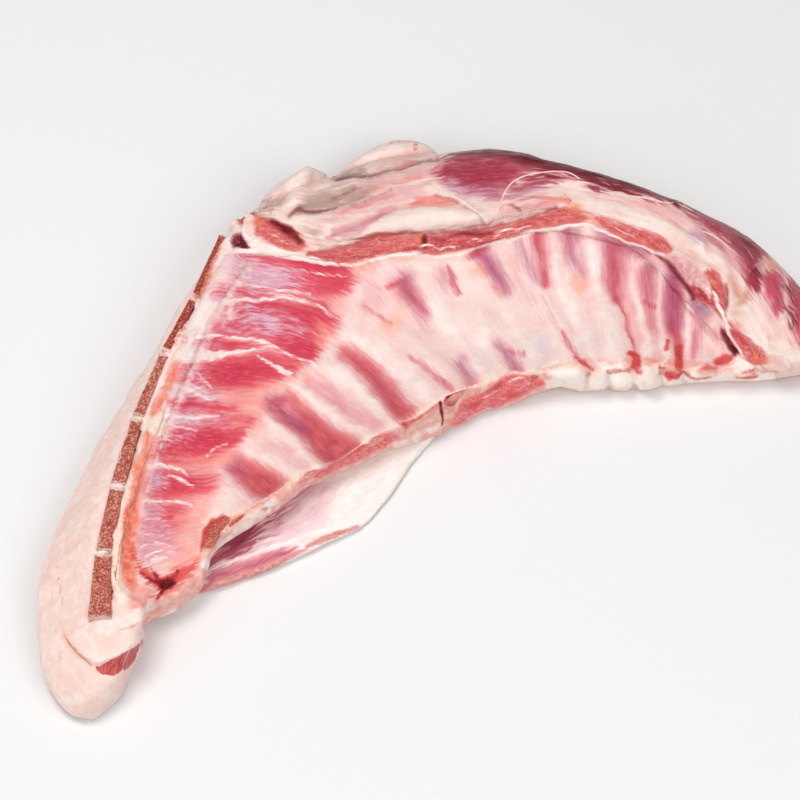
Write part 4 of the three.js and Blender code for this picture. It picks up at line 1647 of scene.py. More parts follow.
@dataclass
class Brisket(Piece):
    """The fat beside the breastbone, with its gristle and the neck end."""

    name: str = "brisket_fat_cover"
    node: str = "brisket_fat"
    slot: str = "fat"
    neighbours: Tuple[str, ...] = (
        "rib_wall", "flank", *(f"breastbone_{i + 1}" for i in range(BREASTBONE_COUNT)))
    rounds: int = 10
    uneven: float = 0.7
    seed: int = 21
    tissues: Tissues = field(default_factory=lambda: BRISKET_TISSUES)

    def forms(self) -> tuple:
        """Gives the fold over the neck end, its crease and the knots of gristle."""
        return (
            Ridge((62, 635, 71, 646, 79, 653, 90, 663), -1.6, 3),
            Fold((146, 632, 140, 641, 119, 657, 95, 666, 79, 654, 62, 636), 2.2, 9),
            Ridge((96, 668, 112, 671, 130, 661, 143, 642), -1, 5), Lump((157, 429), (8, 8), 1.2),
            Lump((140, 597), (10, 12), 1.4, 30), Lump((162, 619), (11, 5), 1.2, -35),
            Lump((106, 631), (9, 6), 0.8), Ridge((118, 622, 140, 614, 157, 597), 1, 5),
            Lump((243, 243), (7, 9), -2),
        )

    def flow(self) -> Tuple[Line, ...]:
        """Gives the run of the fat along the breastbone."""
        return ((235, 225, 150, 390, 100, 560, 60, 660),)

    def finish(self) -> Finish:
        """Gives the smooth waxy fat with its gristle."""
        layers = (
            # painted shade in the hollows of the fat
            Layer("hollow_shade", 0xF6CABA, 0xF2BEAC, 5, 0.4, 0.4, 0.5),
            LAYER_GRISTLE, LAYER_GRISTLE_PALE,
            LAYER_LUMP,
            Layer("sawn", 0xE88E7C, 0xB85244, 1.4, 0.9, 0.5, 0.9),
            Layer("pale", 0xFCF2F0, 0xECDEE2, 2.2, 0.4, 0.35, 0.95),
            Layer("veins", 0xEC9680, 0xDE6E60, 1.5, 0.5, 0.35, 0.9),
            Layer("cut", 0xDA706C, 0xB43E42, 0.9, 0.5, 0.25, 1, FIBRE),
            # dark meat and painted shade
            Layer("pocket_dark_and_shade", 0x963E4A, 0x681826, 1.5, 0.4, 0.5),
            Layer("scarlet", 0xC44638, 0x9C2C28, 1.2, 0.6, 0.5),
            LAYER_NUB, LAYER_SORE, LAYER_OUTER,
        )
        return Finish("brisket_fat", 0xFBE5DC, 0xF7D6CC, layers, size=7.0,
                      bumps=((Weave.CLOUD, 2.6, 0.3), (Weave.CLOUD, 0.9, 0.1)))


@dataclass
class Breastbone(Piece):
    """One sawn piece of the breastbone, numbered from the flank end."""

    name: str = ""
    node: str = ""
    slot: str = "breastbone"
    number: int = 1
    voxel: float = 0.5
    rounds: int = 3
    swell: float = 0.35
    sunk: float = 1.1
    uneven: float = 0.2
    dark_count: int = 2
    pores: float = 0.32
    flecks: Spot = (0.2, 0.3)
    margins: Spot = (0.2, 1.0)
    marrow: float = 0.6
    drift_wave: float = 4.0
    joint_depth: Spot = (0.5, 2.2)
    joint_drift: float = 0.6
    margin_lean: Spot = (0.65, 1.1)
    margin_drift: float = 0.22
    marrow_lean: Spot = (-0.2, 0.8)

    def __post_init__(self) -> None:
        """Names the piece and its solid by its number."""
        self.name = f"breastbone_{self.number}_sawn"
        self.node = f"breastbone_{self.number}"
        self.seed = 30 + self.number

    def relief(self, skin: Skin) -> np.ndarray:
        """Sets the sawn face back until it lies level with the fat.

        Args:
            skin: The piece's fine mesh.

        Returns:
            Millimetres that each point moves out.
        """
        return np.full(len(skin.spots), -self.sunk)

    def flow(self) -> Tuple[Line, ...]:
        """Gives the run of the bone."""
        return ((229, 228, 196, 300, 166, 356, 140, 415, 122, 470, 108, 530, 100, 620),)

    def finish(self) -> Finish:
        """Gives the sawn spongy bone, redder and darker towards the flank end.

        Returns:
            The finish.
        """
        light, dark = (0xD66A58, 0xA23E32) if self.number <= self.dark_count else (0xE48872, 0xB65848)
        layers = (
            Layer("pores", 0x86342A, 0x68241E, 1.1, 1.2, 0.2, 0.55),
            Layer("flecks", 0xF6C8B6, 0xE8A692, 0.9, 1.2, 0.15, 0.55),
            Layer("marrow", 0xD25848, 0xAC3830, 1.6, 0.9, 0.5, 0.6),
            Layer("margin", 0xF8D8CD, 0xEEBAAC, 1.4, 0.5, 0.4, 0.95),
            Layer("joint", 0xFCE8E0, 0xF4D0C6, 1.2, 0.5, 0.4, 0.95),
            Layer("outer", 0xE6AA98, 0xCE806C, 2),
        )
        return Finish(f"sawn_breastbone_{self.number}", light, dark, layers, size=0.9, roughness=(0.45, 0.7),
                      bumps=((Weave.CLOUD, 1.0, 0.22), (Weave.CLOUD, 0.5, 0.1)), gloss=0.05)

    def mark(self, skin: Skin) -> None:
        """Adds the pores, the gristle at both ends and the bone's two margins.

        Args:
            skin: The piece's fine mesh.
        """
        super().mark(skin)
        spread = (skin.points - skin.points.mean(0)) / MM
        axis = np.linalg.svd(spread[::7], full_matrices=False)[2][0]
        run = spread @ axis
        end = np.minimum(run - run.min(), run.max() - run)
        side, _, _ = follow(corners(self.flow()[0]), skin.spots)
        middle = 0.5 * (side.min() + side.max())
        lean = (side - middle) / max(1e-6, side.max() - middle)
        drift = Noise(self.seed).cloud(skin.points / MM, self.drift_wave, 2)
        pale = self.number > self.dark_count
        skin.store("pores", np.full(len(skin.spots), self.pores))
        skin.store("flecks", np.full(len(skin.spots), self.flecks[pale]))
        skin.store("joint", 1 - step(*self.joint_depth, end + self.joint_drift * drift))
        margin = step(*self.margin_lean, np.abs(lean) + self.margin_drift * drift)
        skin.store("margin", margin * self.margins[pale])
        skin.store("marrow", self.marrow * step(*self.marrow_lean, -lean))


@dataclass
class RibBone(Piece):
    """One rib, numbered from the neck end, whose sawn end shows in the wall's cut edge."""

    name: str = ""
    node: str = ""
    slot: str = "bone"
    number: int = 1
    voxel: float = 0.6
    rounds: int = 3
    swell: float = 0.0
    uneven: float = 0.1
    spongy: Tuple[int, ...] = (1, 6)

    def __post_init__(self) -> None:
        """Names the piece and its solid by its number."""
        self.name = f"rib_{self.number}_bone"
        self.node = f"rib_{self.number}"
        self.seed = 50 + self.number

    def finish(self) -> Finish:
        """Gives brown sponge where the saw met bone, and pale flesh where the end is covered.

        Returns:
            The finish.
        """
        open_end = self.number in self.spongy
        light, dark = (0xDE967C, 0xA0503E) if open_end else (0xF2B6AC, 0xE08880)
        weave = Weave.CELL if open_end else Weave.CLOUD
        return Finish(f"sawn_rib_{self.number}", light, dark, size=1.0, weave=weave,
                      bumps=((Weave.CELL, 0.9, 0.15),), gloss=0.05)


SKIRT_TISSUES: Tissues = {
    "stripes": WALL_TISSUES["stripes"], "bruises": WALL_TISSUES["bruises"], "rosy": WALL_TISSUES["rosy"],
    "meat": SKIRT_MEAT, "seams": SKIRT_SEAMS, "dark": SKIRT_DARK_AND_SHADOW, "frayed": FRAYED,
    "ember": Tissue(3, (
        Dab((419, 240), (4, 6), 0.9), Dab((259, 222), (7, 6)),
        Stroke((566, 208, 580, 211, 598, 226), (1.6, 2.4, 1.4), 0.8),
        Stroke((754, 356, 766, 362), (3, 3), 0.8), Stroke((345, 263, 370, 260), (1, 1), 0.6),
        Stroke((664, 245, 674, 249), (1, 1.2), 0.6),
    )),
    "crimson": Tissue(4, (
        Patch((703, 271, 715, 273, 724, 285, 727, 301, 723, 311, 715, 301, 710, 285), 0.8),
        Patch((688, 287, 697, 285, 711, 297, 716, 306, 706, 305, 695, 300, 689, 294)),
        Stroke((730, 322, 738, 326, 747, 332), (2.5, 3, 1), 0.9), Stroke((733, 334, 744, 344), (3, 3), 0.6),
        Stroke((430, 246, 452, 244, 480, 238), (3, 4, 3), 0.6), Stroke((520, 227, 548, 217), (3, 3), 0.5),
    )),
    # painted bluish shadow at the skirt's end
    "bluish_shadow": Tissue(4, (Patch((687, 300, 697, 302, 710, 313, 706, 317, 697, 311), 0.9),)),
}


@dataclass
class Skirt(Piece):
    """The trimmed skirt: cut red muscle along the rib wall's far edge, under the flank's fat."""

    name: str = "skirt_muscle"
    node: str = "skirt"
    slot: str = "muscle"
    neighbours: Tuple[str, ...] = ("flank", "rib_wall", "brisket_fat")
    voxel: float = 0.6
    rounds: int = 6
    lap: float = 0.8
    uneven: float = 0.5
    seed: int = 41
    tissues: Tissues = field(default_factory=lambda: SKIRT_TISSUES)
    grain: float = 0.2
    heights: Heights = (("meat", 0.7), ("seams", 0.4), ("dark", -1.2))
    traces: Traces = (("marble", "meat", MARBLING),)

    def relief(self, skin: Skin) -> np.ndarray:
        """Roughens the cut face beside the rise of the tissues.

        Args:
            skin: The piece's fine mesh.

        Returns:
            Millimetres that each point moves out.
        """
        grain = Noise(self.seed + 5).cloud(skin.points / MM, FINE_WAVE, 2)
        return super().relief(skin) + self.grain * grain * skin.covers["meat"]

    def flow(self) -> Tuple[Line, ...]:
        """Gives the run of the meat."""
        return ((245, 235, 300, 240, 340, 250, 400, 245, 480, 240, 590, 218, 650, 245, 700, 290, 745, 345),)

    def finish(self) -> Finish:
        """Gives cut meat under cream fat."""
        layers = (
            LAYER_ROSY, LAYER_STRIPES, LAYER_BRUISES, LAYER_MEAT,
            Layer("crimson", 0xC8464E, 0xA62A38, 0.9, 0.8, 0.5, 0.85, FIBRE),
            LAYER_MARBLE,
            Layer("ember", 0xF2926E, 0xDC624C, 2.6, 0.4, 0.5, 0.8),
            LAYER_FRAYED,
            # painted bluish shadow
            Layer("bluish_shadow", 0xB696AC, 0x8C6882, 1.6, 0.7, 0.5, 0.85),
            LAYER_DARK_AND_SHADOW, LAYER_SEAMS,
            Layer("outer", 0xE0968C, 0xC45C58, 2, 0.6, 0.3, 1, FIBRE),
        )
        return Finish("skirt_muscle", 0xF7DCD3, 0xEDC0B6, layers, size=5.0,
                      bumps=((Weave.CLOUD, 1.4, 0.14), (FIBRE, 0.8, 0.14)))


FLANK_TISSUES: Tissues = {
    "meat": SKIRT_MEAT, "seams": SKIRT_SEAMS, "dark": SKIRT_DARK_AND_SHADOW, "frayed": FRAYED,
    # pink and coral bands that run along the fat
    "pink": Tissue(8, (
        Dab((472, 222), (15, 6), 0.5), Dab((682, 214), (16, 8), 0.8, 28), Dab((760, 268), (12, 10), 0.7, 40),
        Dab((306, 196), (8, 10), 0.4), Dab((620, 216), (26, 5), 0.4, 18),
        Stroke((318, 224, 345, 212, 372, 201, 402, 192, 430, 184), (2, 6, 7, 6, 4), 0.9),
        Stroke((352, 190, 380, 182, 410, 174, 434, 168), (3, 6, 6, 5), 0.8),
        Stroke((588, 192, 630, 201, 668, 208, 700, 224), (4, 6, 8, 6), 0.8),
        Stroke((700, 224, 720, 240, 738, 258, 750, 278), (7, 10, 10, 6)),
        Stroke((783, 270, 789, 300, 797, 340), (3, 4, 5), 0.9),
        Stroke((760, 296, 770, 318, 780, 336), (2, 3, 2), 0.6),
        Stroke((504, 212, 530, 208, 556, 204), (4, 5, 3), 0.8),
    )),
    "coral": Tissue(3, (
        Patch((398, 205, 412, 198, 430, 196, 448, 198, 458, 203, 446, 205, 425, 206)),
        Dab((437, 168), (6, 5), 0.6),
        Stroke((504, 200, 520, 199, 540, 197, 566, 201), (1.2, 2.4, 2.6, 2), 0.8),
        Stroke((500, 208, 508, 205, 522, 210, 545, 204, 562, 200), (1, 1.6, 2, 1.6, 0.8), 0.8),
        Stroke((342, 214, 364, 204, 392, 195), (0.8, 1.8, 1), 0.8),
        Stroke((352, 198, 380, 186, 420, 176), (0.8, 1.6, 1), 0.7),
        Stroke((378, 170, 400, 165, 420, 160), (1, 1.6, 1.2), 0.7),
        Stroke((360, 192, 384, 184), (0.8, 1), 0.7),
        Stroke((640, 206, 662, 214, 684, 226), (0.8, 1.4, 0.8), 0.5),
        Stroke((764, 320, 770, 338), (0.8, 1.6), 0.6),
        Stroke((731, 322, 740, 328, 748, 333), (2, 2.6, 1), 0.9), Stroke((796, 318, 804, 350), (2, 3), 0.7),
    )),
    "mauve": Tissue(3.4, (
        Patch((322, 244, 330, 230, 344, 226, 360, 222, 374, 214, 384, 208, 398, 205, 386, 216, 372, 228, 356,
            233, 340, 235)),
        Dab((452, 200), (6, 3), 0.5),
    )),
    "lilac": Tissue(6, (
        Patch((688, 231, 698, 229, 710, 236, 713, 243, 702, 245, 692, 240), 0.95),
        Dab((528, 190), (16, 5), 0.7, -14),
        Stroke((446, 183, 460, 191, 478, 195, 498, 193), (4, 5, 5, 3), 0.85),
    )),
    # whiter fat, painted shade in its hollows and creases, and orange fat
    "white": Tissue(5, (
        Dab((755, 330), (14, 22), 0.8, -20), Dab((716, 258), (9, 7), 0.8, 30),
        Stroke((586, 190, 602, 194, 622, 198, 643, 199, 660, 204), (1.2, 1.6, 1.6, 1), 0.8),
        Stroke((225, 229, 232, 226, 239, 223), (2, 1.6, 1), 0.7),
        Stroke((290, 176, 302, 168, 312, 168, 322, 174), (4, 5, 4), 0.8),
        Stroke((239, 226, 250, 237, 256, 250), (2.4, 2.8, 3)),
        Stroke((255, 240, 268, 246, 282, 252, 300, 256), (3, 1.4, 1.4)),
        Stroke((384, 224, 420, 215, 456, 216, 480, 224), (4, 8, 7, 3), 0.9),
        Stroke((618, 210, 650, 220, 684, 242, 708, 258), (4, 6, 7, 4), 0.8),
        Stroke((296, 224, 310, 216, 330, 212), (4, 5, 2), 0.5),
        *strokes((4, 5, 4), 0.7, (560, 182, 572, 190, 590, 198), (360, 160, 380, 152, 400, 148)),
    )),
    "shade": Tissue(7, (
        Patch((296, 210, 308, 200, 320, 192, 340, 188, 356, 186, 352, 194, 340, 203, 318, 210)),
        Dab((268, 206), (14, 7), 0.55, -30), Dab((312, 230), (9, 9), 0.4, -40),
        Stroke((330, 200, 352, 196, 372, 188), (5, 6, 3), 0.8),
        Stroke((336, 179, 346, 175, 360, 171), (3, 4, 2), 0.9),
        Stroke((318, 248, 340, 243, 358, 237), (2, 2.6, 2), 0.5),
    )),
    # painted shade darkening the creases of the fat
    "crease": Tissue(2.2, (
        Stroke((289, 214, 296, 210, 301, 208, 307, 210, 320, 210, 335, 206), (0.8, 1.4, 1.4, 1.2, 1, 0.6)),
        Stroke((337, 178, 346, 176, 360, 175, 380, 172, 400, 167, 424, 161, 438, 157), (1.4, 1.6, 1, 0.9, 0.9,
            0.8), 0.85),
        Stroke((270, 214, 276, 208), (0.5, 0.5), 0.5),
        Stroke((510, 205, 515, 207, 520, 210), (0.6, 1, 0.6), 0.9),
        Stroke((436, 196, 452, 200, 470, 210, 484, 224), (0.5, 0.7, 0.7, 0.5), 0.6),
        Stroke((330, 196, 345, 191, 362, 187), (0.5, 0.9, 0.5), 0.6),
        *strokes((0.5, 0.8, 0.4), 0.6, (256, 206, 262, 200, 270, 197), (258, 212, 268, 206, 280, 202)),
        *strokes((0.4, 0.7, 0.4), 0.5, (352, 206, 372, 197, 390, 190), (358, 179, 372, 177, 388, 173)),
    )),
    "ember": Tissue(3.6, (
        Dab((575, 208), (7, 4), 1, 12), Dab((259, 222), (7, 6), 0.95), Dab((772, 263), (11, 6), 0.55, 35),
        Dab((419, 240), (4, 5), 0.8), Stroke((580, 210, 587, 215, 593, 221, 599, 228), (3, 3, 2.4, 1.4), 0.9),
        Stroke((756, 354, 766, 361), (2.4, 2.4), 0.8), Stroke((562, 198, 569, 202), (1.2, 1.6), 0.6),
    )),
    # orange-brown painted shade in the hollows of the fat and under the knob
    "umber_shade": Tissue(4.5, (
        Dab((694, 256), (8, 5), 0.5, 35), Dab((735, 312), (6, 5), 0.5), Dab((400, 160), (18, 5), 0.45, -14),
        Dab((682, 241), (13, 7), 0.35, 30), Stroke((731, 276, 736, 288, 740, 297), (2, 3, 2), 0.85),
        Stroke((751, 283, 746, 296, 739, 304), (2, 3, 2.4), 0.85),
    )),
    "scarlet": Tissue(2.6, (
        Dab((415, 146), (2, 4), 0.45), Dab((247, 217), (8, 7)),
        Stroke((387, 147, 393, 142, 404, 140, 415, 141), (0.4, 0.6, 0.5), 0.45),
        Stroke((566, 196, 569, 202), (0.8, 1), 0.7),
    )),
    # dark muscle along the upper rim, from its thin edges to its depths, with painted shade where the rim
    # turns away
    "wine": Tissue(7, (
        Patch((435, 175, 441, 160, 455, 148, 491, 142, 520, 144, 545, 153, 575, 160, 604, 168, 640, 178, 664,
            189, 686, 200, 666, 203, 640, 197, 612, 191, 594, 188, 582, 181, 573, 175, 560, 172, 540, 173,
            528, 176, 514, 181, 507, 188, 502, 195, 488, 196, 470, 193, 452, 186)),
        Patch((505, 195, 509, 186, 520, 179, 535, 176, 557, 174, 557, 181, 545, 190, 525, 196), 0.85),
        Patch((690, 202, 727, 216, 750, 229, 774, 250, 767, 259, 758, 263, 758, 280, 757, 293, 750, 282, 745,
            266, 734, 252, 720, 241, 704, 228, 690, 214)),
        Patch((763, 277, 773, 271, 784, 280, 785, 298, 781, 313, 773, 307, 767, 292)),
        Patch((787, 272, 816, 282, 816, 352, 797, 332, 789, 305)),
    )),
    # darkest muscle, and painted shade along the rim where it turns away
    "dark_muscle_and_shade": Tissue(6, (
        Dab((548, 177), (11, 4), 0.9, -6), Patch((749, 268, 758, 268, 758, 292, 752, 281), 0.9),
        Stroke((446, 152, 470, 146, 491, 147, 520, 151, 545, 159, 575, 165, 604, 173, 640, 183, 664, 191, 690,
            202, 727, 217, 752, 231, 772, 249), (2, 5, 8, 10, 8, 8, 9, 7, 5, 4, 3.5, 3.5, 2)),
        Stroke((789, 288, 791, 305, 793, 324), (1.6, 3, 1.6), 0.9),
        Stroke((585, 178, 600, 185, 622, 189, 644, 193), (2, 4, 3, 2), 0.9),
        Stroke((742, 238, 752, 250, 757, 262), (4, 5, 3), 0.7),
    )),
    "crimson": Tissue(9, (
        Dab((482, 174), (26, 10)), Dab((753, 277), (5, 12), 0.8), Dab((448, 175), (10, 8), 0.6),
        Dab((545, 178), (16, 5), 0.6, -8),
    )),
    "rose": Tissue(5, (
        Dab((773, 286), (9, 15)), Dab((776, 306), (5, 9), 0.8),
        Stroke((792, 286, 797, 312, 804, 340), (2, 4, 4), 0.7),
    )),
    "threads": Tissue(1.6, (
        Stroke((433, 172, 442, 166, 453, 163), (0.5, 0.9, 0.3), 0.9),
        Stroke((427, 181, 436, 180, 446, 184), (0.4, 1, 0.4)),
        Stroke((716, 239, 726, 246, 735, 256), (0.4, 0.8, 0.4), 0.8),
        Stroke((762, 282, 765, 294, 770, 306), (0.5, 0.9, 0.5), 0.8),
        Stroke((596, 176, 606, 182, 612, 188), (0.4, 0.7, 0.3), 0.8),
        Stroke((785, 280, 787, 300, 791, 320), (0.5, 0.8, 0.5), 0.7),
        *strokes((0.4, 0.8, 0.3), 0.9, (461, 193, 470, 189, 481, 184), (712, 232, 722, 235, 731, 242)),
        *strokes((0.3, 0.6, 0.3), 0.7, (746, 246, 752, 255, 759, 266), (610, 180, 620, 184, 632, 186)),
        *strokes((0.3, 0.7, 0.3), 0.8, (700, 226, 712, 231, 722, 240), (748, 272, 756, 265, 764, 262)),
    )),
}


@dataclass
class Flank(Piece):
    """The folded flank with its fat, muscle bands and tendons."""

    name: str = "flank_fold"
    node: str = "flank"
    slot: str = "membrane"
    neighbours: Tuple[str, ...] = ("rib_wall", "brisket_fat")
    voxel: float = 0.75
    rounds: int = 8
    uneven: float = 0.45
    seed: int = 61
    tissues: Tissues = field(default_factory=lambda: FLANK_TISSUES)
    fibre_step: float = 7.0
    thread: float = 1.6
    thread_height: float = 0.25
    crease: float = 5.0
    crease_height: float = 0.45
    heights: Heights = (("dark", -0.8),)
    traces: Traces = (("marble", "meat", MARBLING), ("sinew", "wine", 0.2))

    def forms(self) -> tuple:
        """Gives the folds, creases and hollows of the flank."""
        return (
            Ridge((289, 213, 301, 208, 313, 210, 335, 206, 360, 194), -1.8, 4),
            Fold((365, 186, 335, 190, 309, 201, 294, 212), 1.4, 7),
            Ridge((337, 179, 350, 177, 391, 168, 420, 161, 438, 158), -1.6, 4),
            Ridge((336, 230, 378, 215, 404, 204, 450, 204, 470, 208), -1, 3),
            Ridge((376, 226, 420, 214, 462, 217, 485, 226), 1.4, 9),
            Ridge((425, 185, 456, 197, 492, 226), 0.8, 3), Ridge((508, 205, 540, 202, 575, 205), 0.8, 6),
            Ridge((580, 187, 622, 196, 680, 202), 0.7, 3),
            Ridge((586, 200, 622, 213, 664, 229, 699, 248), 1.4, 8),
            Ridge((664, 243, 700, 258, 716, 270), -0.9, 4),
            Ridge((706, 232, 734, 257, 750, 280, 757, 292), -1.2, 4), Lump((739, 291), (8, 15), -2, -28),
            Ridge((764, 272, 784, 290, 790, 310), -0.8, 3), Lump((243, 241), (6, 9), -2.5),
            Lump((400, 150), (30, 9), 0.8, -14), Lump((332, 198), (30, 9), -3.2, -12),
            Ridge((307, 166, 303, 182, 292, 206), 1.6, 6), Ridge((285, 186, 280, 204), -0.8, 4),
            Lump((281, 180), (13, 8), -1.8, -40),
        )

    def trims(self) -> Tuple[Trim, ...]:
        """Gives the outline of fold, knob and upper rim, and of the foot at the loin end."""
        return (Trim((225, 229, 238, 221, 254, 208, 268, 194, 279, 185, 294, 176, 307, 167, 319, 172, 330,
                      178, 336, 178, 345, 170, 360, 158, 377, 148, 392, 140, 409, 139, 415, 140, 425, 144,
                      438, 156, 451, 153, 471, 151, 489, 149, 515, 151, 528, 154, 542, 160, 559, 164, 581,
                      168, 600, 173, 626, 181, 644, 186, 664, 196, 678, 200, 695, 209, 709, 216, 727, 224,
                      747, 235, 765, 251, 783, 268, 800, 286)),
                Trim(LOWER_OUTLINE, upper=False))

    def relief(self, skin: Skin) -> np.ndarray:
        """Adds the fibres of the muscle bands and the long creases of the fat.

        Args:
            skin: The piece's fine mesh.

        Returns:
            Millimetres that each point moves out.
        """
        along, across = self.fibres(skin.spots)
        place = np.stack([along / self.fibre_step, across, 0 * along], axis=1)
        threads = self.thread_height * Noise(self.seed + 3).at(place, self.thread)
        creases = self.crease_height * Noise(self.seed + 4).cloud(place, self.crease, 2)
        return super().relief(skin) + threads + creases

    def flow(self) -> Tuple[Line, ...]:
        """Gives the run of the flank's bands."""
        return (
            (236, 222, 262, 226, 300, 244, 345, 262, 400, 250, 480, 244, 585, 222, 650, 245, 700, 290, 745,
                345),
            (236, 215, 290, 198, 360, 186, 440, 174, 560, 174, 640, 188, 700, 216, 752, 256, 798, 340),
        )

    def finish(self) -> Finish:
        """Gives fat and membrane over dark muscle."""
        layers = (
            # painted shade in the hollows of the fat
            Layer("hollow_shade", 0xECC0B4, 0xE0A89E, 2.4, 0.5, 0.4, 0.6, FIBRE),
            # painted highlight on the crests of the fat
            Layer("crest_highlight", 0xF9E6DD, 0xF5D8CE, 4, 0.4, 0.4, 0.5),
            Layer("pink", 0xE8B6B2, 0xD49094, 1.8, 0.7, 0.5, 0.85, FIBRE),
            Layer("coral", 0xEC948A, 0xDC7270, 1.2, 0.8, 0.5, 0.85, FIBRE),
            Layer("mauve", 0xE2A4A8, 0xCA7E8A, 1.4, 0.7, 0.5, 0.85, FIBRE),
            Layer("white", 0xFBECE4, 0xF6DED4, 2.4, 0.6, 0.5, 0.75, FIBRE),
            # orange-brown painted shade
            Layer("umber_shade", 0xDEA28A, 0xC47A66, 4, 0.3, 0.5, 0.8),
            Layer("shade", 0xBEA096, 0x96746C, 1.6, 0.8, 0.5, 0.92, FIBRE),
            # painted shade in the creases
            Layer("crease", 0x88544E, 0x5E3230, 1.6, 0.35, 0.5, 0.9),
            Layer("wine", 0xC26672, 0x9E3E4E, 1.2, 0.9, 0.5, 1, FIBRE),
            Layer("lilac", 0xD4A8BA, 0xB8829A, 1, 0.8, 0.5, 0.8, FIBRE),
            # darkest muscle and painted shade
            Layer("dark_muscle_and_shade", 0x7E2C34, 0x581822, 1.2, 0.8, 0.45, 1, FIBRE),
            Layer("crimson", 0xB63A50, 0x98283E, 0.9, 0.8, 0.5, 0.8, FIBRE),
            Layer("rose", 0xE06476, 0xC6445A, 0.9, 0.8, 0.5, 1, FIBRE),
            Layer("sinew", 0xD6969A, 0xB86C74, 0.6, 1, 0.25, 0.35, FIBRE),
            Layer("threads", 0xF0D2CC, 0xD8A8A6, 0.6, 0.8, 0.5, 0.7, FIBRE),
            Layer("ember", 0xF2A07C, 0xDE6C54, 2.6, 0.4, 0.5, 0.8),
            Layer("scarlet", 0xC84238, 0xA02628, 1.2, 0.7, 0.5, 0.9),
            LAYER_MEAT, LAYER_MARBLE, LAYER_FRAYED, LAYER_DARK_AND_SHADOW, LAYER_SEAMS,
            Layer("outer", 0xE2B0A8, 0xAA5E62, 2.6, 0.5, 0.5, 1, FIBRE),
        )
        return Finish("flank_fat", 0xF7E2D9, 0xEECCC2, layers, size=7.0, shine=0.12,
                      gloss=0.03, bumps=((Weave.CLOUD, 2.6, 0.16), (FIBRE, 0.8, 0.12)))


FLAP_TISSUES: Tissues = {
    # the flap's dark purple muscle, and painted shade under the sawn lip
    "deep": Tissue(12, (
        Patch((198, 577, 215, 551, 235, 532, 252, 518, 262, 520, 258, 540, 245, 554, 222, 565)),
        Patch((225, 545, 258, 513, 276, 500, 284, 505, 278, 520, 270, 534, 258, 546, 245, 556), 0.6),
        Patch((262, 510, 290, 490, 306, 482, 304, 494, 292, 508, 276, 524), 0.3),
    )),
    "lilac": Tissue(9, (
        Patch((240, 552, 268, 520, 300, 480, 335, 478, 332, 510, 318, 530, 290, 545, 262, 553), 0.95),
    )),
    "rose": Tissue(4, (
        Patch((205, 577, 230, 566, 256, 557, 284, 548, 302, 548, 284, 560, 262, 568, 236, 577, 210, 588)),
    )),
    "pale": Tissue(1.6, (
        Patch((330, 505, 345, 478, 390, 460, 430, 438, 440, 434, 418, 464, 381, 504, 362, 526, 336, 526),
            0.7),
        Stroke((205, 572, 229, 562, 256, 552, 281, 544, 313, 535, 349, 527, 366, 526), (1, 1.2, 1.2, 2, 3.5,
            3)),
        Stroke((255, 546, 268, 540, 281, 537), (0.6, 1.4, 0.6)), Stroke((258, 541, 266, 549), (0.6, 1), 0.8),
        Stroke((366, 527, 381, 506, 400, 484, 420, 461, 432, 441, 443, 428), (2.5, 3, 3, 2.5)),
    )),
    "rim": Tissue(1.8, (
        Stroke((165, 602, 190, 594, 224, 584, 266, 570, 307, 550), (2.5, 4, 4.4, 3.6, 1.2)),
        Stroke((306, 548, 331, 538, 357, 529), (1.6, 3.6, 1.6)),
    )),
    "threads": Tissue(1.4, (
        Stroke((300, 500, 340, 490, 392, 468), (0.5, 0.8, 0.5), 0.8),
        Stroke((310, 520, 352, 505, 398, 474), (0.5, 0.8, 0.5), 0.7),
        Stroke((345, 486, 360, 500), (0.5, 0.7), 0.6), Stroke((372, 478, 384, 490), (0.5, 0.6), 0.6),
        Stroke((318, 496, 326, 504, 338, 506), (0.4, 0.7, 0.4), 0.7),
        Stroke((388, 470, 396, 478, 404, 476), (0.4, 0.6, 0.4), 0.6),
        *strokes((0.4, 0.6, 0.4), 0.7, (332, 488, 336, 497, 330, 503), (352, 478, 368, 474, 378, 466)),
        *strokes((0.4, 0.7, 0.4), 0.6, (340, 512, 356, 512, 372, 506), (300, 524, 318, 516, 330, 518)),
    )),
}


